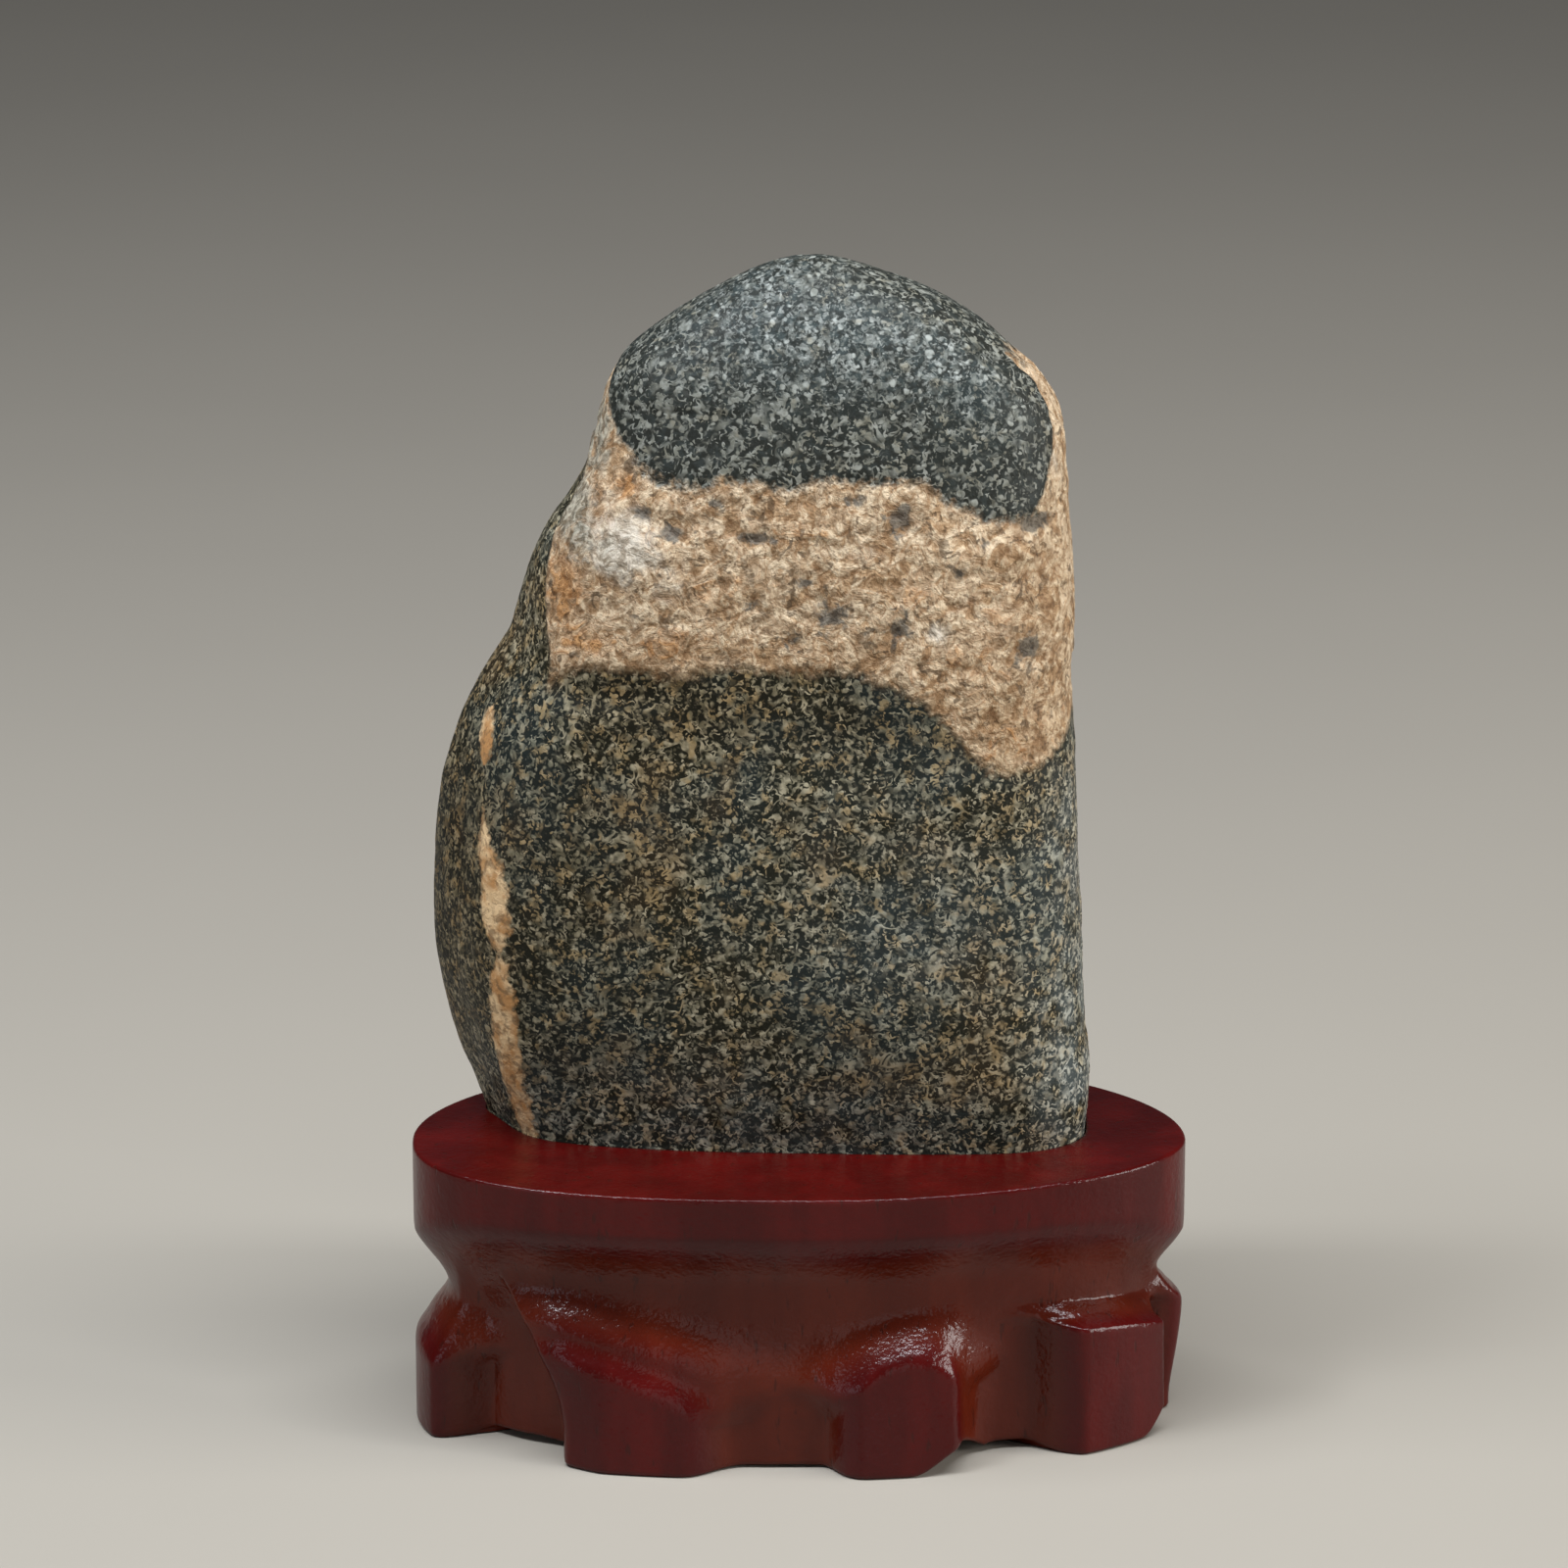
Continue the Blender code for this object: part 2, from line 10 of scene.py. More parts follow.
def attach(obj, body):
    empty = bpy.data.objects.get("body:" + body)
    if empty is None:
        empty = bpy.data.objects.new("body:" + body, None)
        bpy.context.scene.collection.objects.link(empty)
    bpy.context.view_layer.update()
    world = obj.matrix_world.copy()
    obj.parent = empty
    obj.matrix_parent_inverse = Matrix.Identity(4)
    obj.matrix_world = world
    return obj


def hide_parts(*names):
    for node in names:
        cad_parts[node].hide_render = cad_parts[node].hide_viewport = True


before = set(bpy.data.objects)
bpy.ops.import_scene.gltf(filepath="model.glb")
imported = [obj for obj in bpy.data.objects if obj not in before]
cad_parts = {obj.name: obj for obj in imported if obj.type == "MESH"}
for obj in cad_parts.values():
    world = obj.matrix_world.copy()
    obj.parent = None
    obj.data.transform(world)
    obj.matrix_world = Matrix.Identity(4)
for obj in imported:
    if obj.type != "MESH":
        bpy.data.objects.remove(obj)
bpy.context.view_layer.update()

MM = 0.001

# Stand, in millimetres
STAND_LENGTH = 140.0
STAND_FRONT_DEPTH = 34.1
STAND_BACK_DEPTH = 44.5
STAND_HEIGHT = 53.0
OVAL_POWER_FRONT_LEFT = 2.5
OVAL_POWER_FRONT_RIGHT = 1.95
OVAL_POWER_BACK = 1.95
RIM_HEIGHT_SIDES = 8.4
RIM_HEIGHT_ENDS = 17.0
RIM_END_POWER = 8
RIM_EDGE_ROUND = 0.6
COVE_HEIGHT = 11.0
COVE_POWER = 1.8
WAIST_INSET = 6.4
FOOT_EDGE_ROUND = 0.9
LEVEL_GAP = 2.0
PAD_WIDTH = 14.0
PAD_STEP = 1.5
PAD_LIP = 0.3
UNDERSIDE_RECESS = 3.5
CENTRE_SHIFT = (0.0, 0.44)

# Stone, in millimetres, with heights measured from the top face of the stand
STONE_TOP = 160.5
SEAT_DEPTH = 5.0
SEAT_GAP = 0.3
SEAT_WALL_STEP = 0.6
SEAT_FLOOR_SHARE = 0.93
BASE_TUCK = 3.0
SOLE_SAG = 0.35
SOLE_RINGS = ((0.45, 0.3), (0.85, 0.2))
WEATHERING = 0.6
WEATHERING_SIZE = 34.0
RELIEF_FADE = 8.0
BASE_PLAN_TOP = 40.0
HEAD_PLAN_START = 80.0
HEAD_PLAN_RISE = 45.0
SHOULDER_BLUR = 12.0
SHOULDER_REACH = 0.22

# Outline of the stone seen from the front: x, height, from its left foot over the top to its right foot
FRONT_OUTLINE = [
    (-57.1, 0.0), (-59.2, 5.4), (-61.7, 11.0), (-63.9, 18.2), (-65.4, 25.0), (-66.3, 32.0),
    (-66.5, 40.0), (-66.1, 48.5), (-65.0, 59.0), (-63.4, 67.2), (-60.9, 75.2), (-57.5, 82.6),
    (-54.2, 88.0), (-52.3, 91.2), (-51.0, 95.6), (-49.3, 101.3), (-47.4, 107.0), (-44.7, 112.8),
    (-41.2, 118.4), (-38.5, 123.4), (-37.0, 128.0), (-35.5, 133.0), (-33.7, 138.4), (-30.4, 143.2),
    (-26.2, 146.8), (-20.8, 150.9), (-14.8, 154.3), (-8.7, 157.5), (-2.3, 159.9), (4.2, 160.5),
    (10.3, 159.1), (16.3, 156.7), (22.9, 154.0), (29.3, 150.3), (35.2, 145.8), (40.3, 141.6),
    (44.2, 137.0), (46.5, 131.6), (47.7, 123.0), (48.3, 113.7), (49.3, 101.6), (49.3, 91.6),
    (48.7, 85.8), (49.2, 79.0), (50.1, 64.4), (50.5, 52.0), (51.3, 36.6), (51.7, 22.0),
    (52.6, 10.9), (52.0, 0.0),
]

# Outline of the stone seen from its right: y, height, from its front foot over the top to its back foot
SIDE_OUTLINE = [
    (-15.0, 0.0), (-16.8, 12.0), (-18.9, 28.0), (-20.2, 48.0), (-20.4, 68.0), (-19.6, 88.0),
    (-18.2, 106.0), (-16.8, 119.0), (-14.6, 131.0), (-11.2, 142.0), (-5.6, 152.2), (0.4, 158.4),
    (6.0, 160.5), (11.6, 158.7), (17.6, 153.6), (22.4, 146.0), (25.8, 134.0), (28.0, 118.0),
    (29.4, 98.0), (30.0, 74.0), (29.4, 48.0), (27.4, 24.0), (24.6, 10.0), (22.4, 0.0),
]

# Plan outlines of the stone as shares of its half width and half depth, counter-clockwise from the right side
BASE_PLAN = [
    (1.00, -0.10), (0.97, 0.45), (0.80, 0.82), (0.42, 0.98), (-0.05, 1.00), (-0.48, 0.97),
    (-0.83, 0.80), (-1.00, 0.45), (-0.945, -0.02), (-0.835, -0.50), (-0.65, -0.74), (-0.32, -0.91),
    (0.05, -0.98), (0.45, -1.02), (0.79, -0.96), (0.965, -0.62),
]
BODY_PLAN = [
    (1.00, -0.05), (0.97, 0.45), (0.82, 0.80), (0.45, 0.98), (0.00, 1.00), (-0.45, 0.98),
    (-0.83, 0.80), (-1.00, 0.36), (-0.925, -0.18), (-0.805, -0.63), (-0.62, -0.84), (-0.30, -0.95),
    (0.08, -1.00), (0.48, -1.01), (0.80, -0.90), (0.965, -0.52),
]
HEAD_PLAN = [
    (1.00, 0.00), (0.94, 0.45), (0.75, 0.75), (0.45, 0.94), (0.00, 1.00), (-0.45, 0.94),
    (-0.75, 0.75), (-0.94, 0.42), (-1.00, -0.02), (-0.91, -0.50), (-0.69, -0.80), (-0.38, -0.96),
    (0.02, -1.00), (0.45, -0.97), (0.77, -0.80), (0.95, -0.45),
]

# Swellings and hollows on the stone: x, side (-1 front, +1 back), height, radii in x and height, rise
STONE_LUMPS = [
    (-30.0, -1, 111.0, 8.0, 8.0, 1.5),
    (-24.0, -1, 117.0, 10.0, 1.8, -0.9),
    (36.0, -1, 112.0, 8.0, 3.0, 1.0),
    (32.0, -1, 68.0, 8.0, 6.0, 0.8),
    (-34.0, -1, 86.0, 14.0, 3.0, -1.0),
    (10.0, -1, 30.0, 26.0, 18.0, 0.9),
    (8.0, -1, 78.0, 20.0, 10.0, -0.6),
    (22.0, 1, 40.0, 16.0, 20.0, 1.2),
    (-30.0, 1, 70.0, 18.0, 14.0, -1.2),
    (6.0, 1, 110.0, 22.0, 16.0, 0.9),
]

# Feet of the stand, counter-clockwise from the right end. Angles are in degrees, heights in millimetres:
# first and last edge of the face, softness of both edges (below 0 where the flank beside it is scooped out),
# width of the facet beside the first edge, height of the face at both edges, rise of its arched top,
# how far it stands out past the oval at its lower edge, height of the shoulder's top at both edges,
# share of the shoulder's lower step, and where its upper step starts
FEET = [
    (-3.0, 25.0, 2.5, 5.0, 4.0, 21.0, 19.0, 1.0, -2.2, 30.0, 28.0, 0.3, 0.2),
    (48.0, 74.0, 5.0, 2.0, 5.0, 15.0, 22.0, 1.0, 0.0, 25.0, 32.0, 0.3, 0.2),
    (92.0, 116.0, 2.0, 5.0, 6.0, 20.0, 17.0, 1.5, 0.0, 30.0, 27.0, 0.3, 0.2),
    (133.0, 150.0, 3.0, 3.0, 4.0, 21.0, 16.0, 1.0, 0.0, 30.0, 25.0, 0.3, 0.2),
    (165.0, 208.0, 3.0, 9.0, 5.0, 14.5, 13.5, 1.5, 0.0, 26.5, 26.0, 0.3, 0.2),
    (234.0, 257.5, 1.4, 9.0, 7.0, 20.0, 8.4, 2.2, 0.6, 32.6, 28.5, 0.36, 0.42),
    (275.2, 297.0, 2.4, -6.0, 3.6, 10.5, 13.0, 9.0, 1.2, 28.0, 31.0, 0.12, 0.0),
    (310.0, 344.0, -15.0, 4.0, 2.6, 24.6, 20.6, 0.6, 0.4, 28.4, 25.6, 0.5, 0.3),
]
FACET_SHARE = 0.35

# Hollows between the feet: first and last edge, softness of both edges, depth behind the waist,
# height where the hollow starts, height over which it deepens, height of the arch below it
HOLLOWS = [
    (343.0, 358.0, 5.0, 3.0, 1.0, 26.0, 12.0, 0.8),
    (24.0, 49.0, 9.0, 9.0, 3.0, 27.0, 14.0, 1.4),
    (74.0, 92.0, 5.0, 5.0, 2.5, 28.0, 14.0, 1.0),
    (116.0, 133.0, 9.0, 6.0, 3.5, 28.0, 14.0, 1.6),
    (149.0, 166.0, 6.0, 6.0, 2.5, 24.0, 12.0, 1.2),
    (208.0, 234.0, 11.0, 1.4, 3.8, 36.0, 15.0, 1.4),
    (258.0, 276.0, 9.0, 6.0, -1.2, 24.0, 14.0, 0.4),
    (299.0, 313.0, 12.0, 8.0, 2.2, 33.0, 13.0, 1.5),
]

# One edge leans towards the left end as it rises: degrees for each squared millimetre above a height
LEANING_EDGE = 234.0
LEAN = -0.018
LEAN_START = 5.0
DRIFT_REACH = 26.0
DRIFT_TOP = 33.0

# The shoulder above a face is wider and softer than the face
LOWER_STEP = 0.35
SHOULDER_SPREAD = 4.5
SHOULDER_SOFTNESS = 12.0

# Bottom corners cut off the feet: first and last angle, height of the cut at the last one, length of its end
CUT_CORNERS = [(286.5, 295.4, 4.8, 7.0), (333.0, 346.0, 6.0, 1.6)]

# Edges of the feet: flat up to the first softness, fully rounded from the second, and the curve of a scoop
CRISP_EDGE = 3.0
SOFT_EDGE = 6.0
SCOOP_POWER = 2.0

# Fineness of the shown meshes
STONE_ROUND = 320
STONE_BODY_ROWS = 236
STONE_CROWN_ROWS = 48
CROWN_START = 144.0
STONE_FOOT_ROWS = 5
STAND_ROUND = 720
STAND_ROWS = (30, 20, 14, 14)
FOOT_EDGE_SHARES = (1.0, 0.92, 0.62, 0.29)
RIM_EDGE_SHARES = (0.25, 0.5, 0.75, 1.0)
TOP_SHARES = (0.02, 0.15, 0.3, 0.5, 0.7, 0.85, 0.97, 1.0)
SEAT_LEVELS = (-0.3, -SEAT_DEPTH * 0.3, -SEAT_DEPTH * SEAT_WALL_STEP, -SEAT_DEPTH)

# Relief finer than the solid's facets, in millimetres: sizes, rises, and the widths over which it starts
GRAIN_SIZE = 2.6
GRAIN_RISE = 0.07
LUMP_SIZE = 6.0
BAND_LUMP_RISE = 0.22
BAND_GRAIN_RISE = 0.06
PIT_SIZE = 3.4
PIT_DEPTH = 0.34
DARK_PIT_DEPTH = 0.45
PIT_START = 0.16
PIT_SOFTNESS = 0.25
LAYER_START = 1.5
LEDGE_START = 1.2
SWELL_SIZE = 9.0
SWELL_RISE = 0.12
HEAD_LEDGE = 0.35
HEAD_LEDGE_WIDTH = 5.0
BAND_LEDGE = 0.45
BAND_LEDGE_WIDTH = 4.5
VEIN_RISE = 0.18

# Tool marks in the wood, broad ones and narrow ones: size, octaves, seed and depth
TOOL_MARKS = ((11.0, 2, 41, 0.16), (3.2, 2, 43, 0.05))


def ease(x):
    """0 below 0, 1 above 1, and a smooth rise between."""
    x = np.clip(x, 0.0, 1.0)
    return x * x * (3.0 - 2.0 * x)


def curve_at(points, where, closed=False):
    """A smooth curve through the points, read at these places along it, counted in points."""
    p = np.asarray(points, float)
    if closed:
        p = np.vstack([p[-1], p, p[0], p[1]])
    else:
        p = np.vstack([2 * p[0] - p[1], p, 2 * p[-1] - p[-2]])
    k = np.clip(where.astype(int), 0, len(p) - 4)
    t = (where - k)[:, None]
    a, b, c, d = p[k], p[k + 1], p[k + 2], p[k + 3]
    return 0.5 * (2 * b + (c - a) * t + (2 * a - 5 * b + 4 * c - d) * t**2 + (3 * b - a - 3 * c + d) * t**3)


def two_sides(outline):
    """An outline over the top of the stone as two functions of height: its first side and its second."""
    line = curve_at(outline, np.linspace(0, len(outline) - 1, 60 * len(outline)))
    peak = int(np.argmax(line[:, 1]))
    rise, fall = line[: peak + 1], line[peak:][::-1]
    rise_h = np.maximum.accumulate(rise[:, 1])
    fall_h = np.maximum.accumulate(fall[:, 1])
    share_rise = STONE_TOP / rise_h[-1]
    share_fall = STONE_TOP / fall_h[-1]
    return (
        lambda h: np.interp(h, rise_h * share_rise, rise[:, 0]),
        lambda h: np.interp(h, fall_h * share_fall, fall[:, 0]),
    )


LEFT, RIGHT = two_sides(FRONT_OUTLINE)
FRONT, BACK = two_sides(SIDE_OUTLINE)


def stone_plan(height, where):
    """The closed outline of the stone at one height, at these places round it."""
    h = max(height, 0.0)
    low = float(ease(1.0 - h / BASE_PLAN_TOP))
    high = float(ease((h - HEAD_PLAN_START) / HEAD_PLAN_RISE))
    plan = np.asarray(BODY_PLAN) * (1.0 - low - high)
    plan = plan + np.asarray(BASE_PLAN) * low + np.asarray(HEAD_PLAN) * high
    ring = curve_at(plan, where, closed=True)
    whole = curve_at(plan, np.linspace(0, len(plan), 400, endpoint=False), closed=True)
    ring = (ring - whole.min(axis=0)) / (whole.max(axis=0) - whole.min(axis=0))
    nearby = np.linspace(h - SHOULDER_BLUR, h + SHOULDER_BLUR, 9)
    even_left = float(np.mean(LEFT(nearby))) if h < STONE_TOP - 2 * SHOULDER_BLUR else LEFT(h)
    at_left = ease((SHOULDER_REACH - ring[:, 0]) / SHOULDER_REACH)
    left = even_left + (LEFT(h) - even_left) * at_left
    x = left + ring[:, 0] * (RIGHT(h) - left)
    y = FRONT(h) + ring[:, 1] * (BACK(h) - FRONT(h))
    ring = np.stack([x, y], axis=1)
    if height < 0.0:
        sunk = min(-height / SEAT_DEPTH, 1.0)
        ring = ring - outward(ring) * BASE_TUCK * (1.0 - math.sqrt(1.0 - 0.9 * sunk * sunk))
    return ring


def outward(ring):
    """Unit normals of a counter-clockwise outline."""
    along = np.roll(ring, -1, axis=0) - np.roll(ring, 1, axis=0)
    normal = np.stack([along[:, 1], -along[:, 0]], axis=1)
    return normal / np.linalg.norm(normal, axis=1, keepdims=True)


def grid_normals(rows):
    """Unit normals of a grid of points, rings along its first axis."""
    around = np.roll(rows, -1, axis=1) - np.roll(rows, 1, axis=1)
    along = np.gradient(rows, axis=0)
    normal = np.cross(around, along)
    length = np.linalg.norm(normal, axis=2, keepdims=True)
    return normal / np.maximum(length, 1e-9)


def fractal(points, size, octaves, seed):
    """Smooth seeded roughness between about -1 and 1 at each point."""
    shift = Vector((seed * 17.3, seed * 5.1, seed * 9.7))
    flat = points.reshape(-1, 3) / size
    values = [noise.fractal(Vector(p) + shift, 1.0, 2.0, octaves) for p in flat]
    return np.array(values).reshape(points.shape[:-1])


def stone_relief(rows):
    """How far each point of the stone stands out from its smooth form."""
    x, y, h = rows[..., 0], rows[..., 1], rows[..., 2]
    middle = 0.5 * (FRONT(np.clip(h, 0, STONE_TOP)) + BACK(np.clip(h, 0, STONE_TOP)))
    out = WEATHERING * fractal(rows, WEATHERING_SIZE, 3, 3)
    for cx, side, ch, rx, rh, rise in STONE_LUMPS:
        facing = ease(0.5 + side * (y - middle) / RELIEF_FADE)
        out = out + facing * rise * np.exp(-(((x - cx) / rx) ** 2) - ((h - ch) / rh) ** 2)
    return out * ease((h - 1.0) / RELIEF_FADE) * ease((STONE_TOP - h) / RELIEF_FADE + 0.5)


def even_places(count):
    """Places round the stone, counted in control points, about evenly far apart on its body."""
    fine = np.linspace(0, len(BODY_PLAN), 200 * len(BODY_PLAN), endpoint=False)
    ring = stone_plan(60.0, fine)
    step = np.linalg.norm(np.roll(ring, -1, axis=0) - ring, axis=1)
    walked = np.concatenate([[0.0], np.cumsum(step)])
    wanted = np.linspace(0, walked[-1], count, endpoint=False)
    return np.interp(wanted, walked, np.append(fine, len(BODY_PLAN)))


# The tan layer in the stone: x and height of its upper and lower edges on the front of the stone
HEAD_EDGE = [
    (-60.0, 122.0), (-26.0, 122.6), (-20.0, 123.8), (-12.0, 124.6), (-5.0, 123.9), (2.4, 124.6), (9.9, 124.5),
    (17.3, 125.0), (21.8, 123.9), (24.7, 121.9), (31.4, 118.9), (38.2, 117.2), (42.0, 115.6), (60.0, 113.0),
]
BAND_EDGE = [
    (-60.0, 64.0), (-46.0, 86.0), (-37.0, 90.2), (-28.6, 90.6), (-20.0, 90.4), (-12.4, 91.9), (-2.7, 90.8),
    (4.0, 91.2), (11.4, 90.4), (17.4, 87.8), (23.5, 84.0), (28.0, 78.9), (32.5, 74.6), (38.5, 71.9),
    (44.0, 73.2), (60.0, 75.0),
]

# Both edges rise towards the back of the stone from this y on, less steeply behind a bend. They turn from
# the left end's rise to the right end's over a stretch: its start and its length
HEAD_BACK = -13.5
BAND_BACK_LEFT = -9.8
BAND_BACK_RIGHT = -14.5
HEAD_RISE_LEFT = 0.9
HEAD_RISE_RIGHT = 0.155
BAND_RISE_LEFT = 2.6
BAND_RISE_RIGHT = 0.45
RISE_BEND = 13.0
HEAD_TURN = (-20.0, 50.0)
BAND_TURN = (-35.0, 75.0)
HEAD_BEHIND_BEND = 0.1
BAND_BEHIND_BEND = 0.15


def head_edge(x, y):
    """Height of the upper edge of the tan layer."""
    depth = np.maximum(y - HEAD_BACK, 0.0)
    right = ease((x - HEAD_TURN[0]) / HEAD_TURN[1])
    at_right = HEAD_RISE_RIGHT * np.minimum(depth, RISE_BEND) ** 2
    at_right = at_right + HEAD_BEHIND_BEND * np.maximum(depth - RISE_BEND, 0.0)
    return np.interp(x, *np.array(HEAD_EDGE).T) + HEAD_RISE_LEFT * depth * (1.0 - right) + at_right * right


def band_edge(x, y):
    """Height of the lower edge of the tan layer."""
    right = ease((x - BAND_TURN[0]) / BAND_TURN[1])
    depth = np.maximum(y - BAND_BACK_LEFT - (BAND_BACK_RIGHT - BAND_BACK_LEFT) * right, 0.0)
    slope = BAND_RISE_LEFT + (BAND_RISE_RIGHT - BAND_RISE_LEFT) * right
    climb = np.minimum(depth, RISE_BEND) + BAND_BEHIND_BEND * np.maximum(depth - RISE_BEND, 0.0)
    return np.interp(x, *np.array(BAND_EDGE).T) + slope * climb


# The vein down the left ridge of the stone: height and place round the stone, counted in control points
VEIN_PLACE = [
    (0.0, 8.88), (9.6, 8.92), (17.5, 9.04), (27.0, 9.13), (34.0, 9.18), (40.5, 9.08),
    (49.6, 8.95), (58.6, 8.62), (72.0, 8.26), (80.0, 7.96), (90.0, 7.7),
]

# Its height and half width, below 0 where it is gone
VEIN_HALF = [
    (-6.0, 2.0), (4.0, 2.6), (12.0, 3.6), (22.0, 3.6), (31.0, 2.9), (34.5, 1.6), (36.3, 0.2), (38.2, 1.8),
    (42.0, 3.9), (49.0, 3.5), (55.0, 2.8), (59.5, 1.0), (63.0, -0.6), (68.0, -0.6), (70.5, 1.6), (74.0, 3.3),
    (77.0, 2.6), (79.5, 0.4), (84.0, -2.0), (200.0, -3.0),
]
VEIN_WANDER = 0.8
EDGE_WANDER = 0.9

# The patches in the tan layer are on the front: where they fade out, and over which length
PATCH_EDGE = 4.0
PATCH_FADE = 8.0

# Soft patches of colour on the stone: x, height, radii in x and height, strength. First the whitish bulge and
# the paler places of the tan layer, then its rust
WHITE_SPOTS = [
    (-30.2, 112.5, 7.5, 7.0, 1.0), (-24.0, 108.0, 6.0, 5.0, 0.5), (-35.0, 119.5, 4.0, 3.0, 0.5),
    (24.0, 98.5, 3.0, 2.4, 0.8), (-56.5, 63.0, 2.4, 7.0, 0.5), (34.0, 103.0, 7.0, 5.0, 0.25),
    (12.0, 112.0, 6.0, 5.0, 0.2), (47.0, 140.0, 5.0, 24.0, 0.5),
]
RUST_SPOTS = [
    (-41.5, 104.0, 3.6, 11.0, 0.85), (-30.5, 123.0, 3.0, 3.0, 0.9), (-22.0, 95.0, 9.0, 3.0, 0.55),
    (-0.5, 116.5, 6.0, 4.0, 0.45), (-38.0, 95.5, 6.0, 3.0, 0.8), (38.0, 79.0, 8.0, 5.0, 0.45),
    (-14.0, 106.0, 7.0, 8.0, 0.35), (18.0, 106.0, 8.0, 5.0, 0.35), (-36.0, 119.0, 3.0, 6.0, 0.6),
    (4.0, 96.0, 9.0, 4.0, 0.35), (30.0, 92.0, 7.0, 6.0, 0.4), (-20.0, 118.5, 6.0, 3.0, 0.45),
]

# Painted light: paler, cooler stone where light from the right falls on the right side of the body, and low
# on the front where light from the floor falls
PAINTED_LIGHT_SPOTS = [
    (50.0, 18.0, 9.0, 26.0, 0.9), (50.0, 55.0, 7.0, 22.0, 0.7), (20.0, 44.0, 20.0, 22.0, 0.35),
    (-12.0, 6.0, 40.0, 12.0, 0.45),
]

# Painted shade, partly the stone's own browner colour: shade under the ledge of the tan layer, shade down the
# left side, away from the light, and darker at the tongue on the right
PAINTED_SHADE_AND_BROWN_SPOTS = [
    (-22.0, 84.0, 26.0, 9.0, 0.9), (12.0, 82.0, 16.0, 8.0, 0.7), (-62.0, 50.0, 14.0, 40.0, 1.0),
    (-40.0, 58.0, 14.0, 22.0, 0.6), (38.0, 80.0, 10.0, 12.0, 0.6), (40.0, 104.0, 8.0, 14.0, 0.5),
]

# Pale grey-green weathering at the left end of the tan layer
GREY_SPOTS = [
    (-37.0, 131.0, 4.5, 9.0, 1.0), (-40.0, 117.0, 5.0, 9.0, 1.0), (-35.0, 113.0, 4.0, 4.0, 0.5),
    (-47.0, 116.0, 4.0, 8.0, 0.9),
]

# Dark flecks in the tan layer, which are pits too
DARK_SPOTS = [
    (17.8, 118.5, 2.6, 3.6, 1.1), (-7.9, 115.1, 4.2, 1.3, 1.1), (5.9, 101.2, 4.0, 3.2, 0.9),
    (17.0, 99.4, 2.8, 3.0, 1.0), (28.1, 108.4, 1.6, 1.6, 0.9), (40.3, 94.5, 2.8, 2.6, 1.1),
    (41.8, 116.3, 3.4, 1.6, 1.2), (-22.4, 115.5, 2.6, 1.4, 1.1), (-27.6, 118.3, 1.6, 1.3, 1.1),
    (0.7, 107.5, 1.7, 1.4, 1.0), (-14.5, 121.0, 1.6, 1.0, 0.9), (-1.5, 97.0, 2.0, 2.2, 0.7),
    (9.0, 121.5, 2.0, 1.0, 0.7), (33.0, 114.0, 1.4, 1.0, 0.8), (-9.0, 103.5, 1.6, 1.0, 0.7),
]


def spots(x, h, table):
    """How strong the soft patches of a table are at each point."""
    out = np.zeros_like(x)
    for cx, ch, rx, rh, strength in table:
        out = np.maximum(out, strength * np.exp(-(((x - cx) / rx) ** 2) - ((h - ch) / rh) ** 2))
    return out


def stone_fields(rows, places):
    """The layers of the stone at each point, in millimetres above their edges, and its patches of colour,
    painted light and painted shade among them.
    """
    x, y, h = rows[..., 0], rows[..., 1], rows[..., 2]
    wander = EDGE_WANDER * fractal(rows, SWELL_SIZE, 3, 11)
    above_head = h - head_edge(x, y) + wander
    above_band = h - band_edge(x, y) + wander
    line = np.interp(h, *np.array(VEIN_PLACE).T)
    half = np.interp(h, *np.array(VEIN_HALF).T)
    where = np.broadcast_to(places, x.shape)
    around_stone = np.linalg.norm(np.roll(rows, -1, axis=1) - rows, axis=2)
    per_place = around_stone / np.maximum(np.abs(np.roll(places, -1) - places) % len(BODY_PLAN), 1e-6)
    off = (where - line) * np.clip(per_place, 0.0, 30.0) + VEIN_WANDER * fractal(rows, LUMP_SIZE, 3, 5)
    front = ease((PATCH_EDGE - y) / PATCH_FADE)
    return {
        "above_head": above_head,
        "above_band": above_band,
        "vein": half - np.abs(off),
        "white": spots(x, h, WHITE_SPOTS) * front,
        "rust": spots(x, h, RUST_SPOTS) * front,
        "dark": spots(x, h, DARK_SPOTS) * front,
        "grey": spots(x, h, GREY_SPOTS),
        # Painted light on the right side and low down, carried in the field named pale
        "pale": spots(x, h, PAINTED_LIGHT_SPOTS),
        "painted_shade_and_brown": spots(x, h, PAINTED_SHADE_AND_BROWN_SPOTS),
    }


def ledge(height, width):
    """1 on the line where a height is 0, fading over the width on both sides."""
    return np.exp(-((height / width) ** 2))


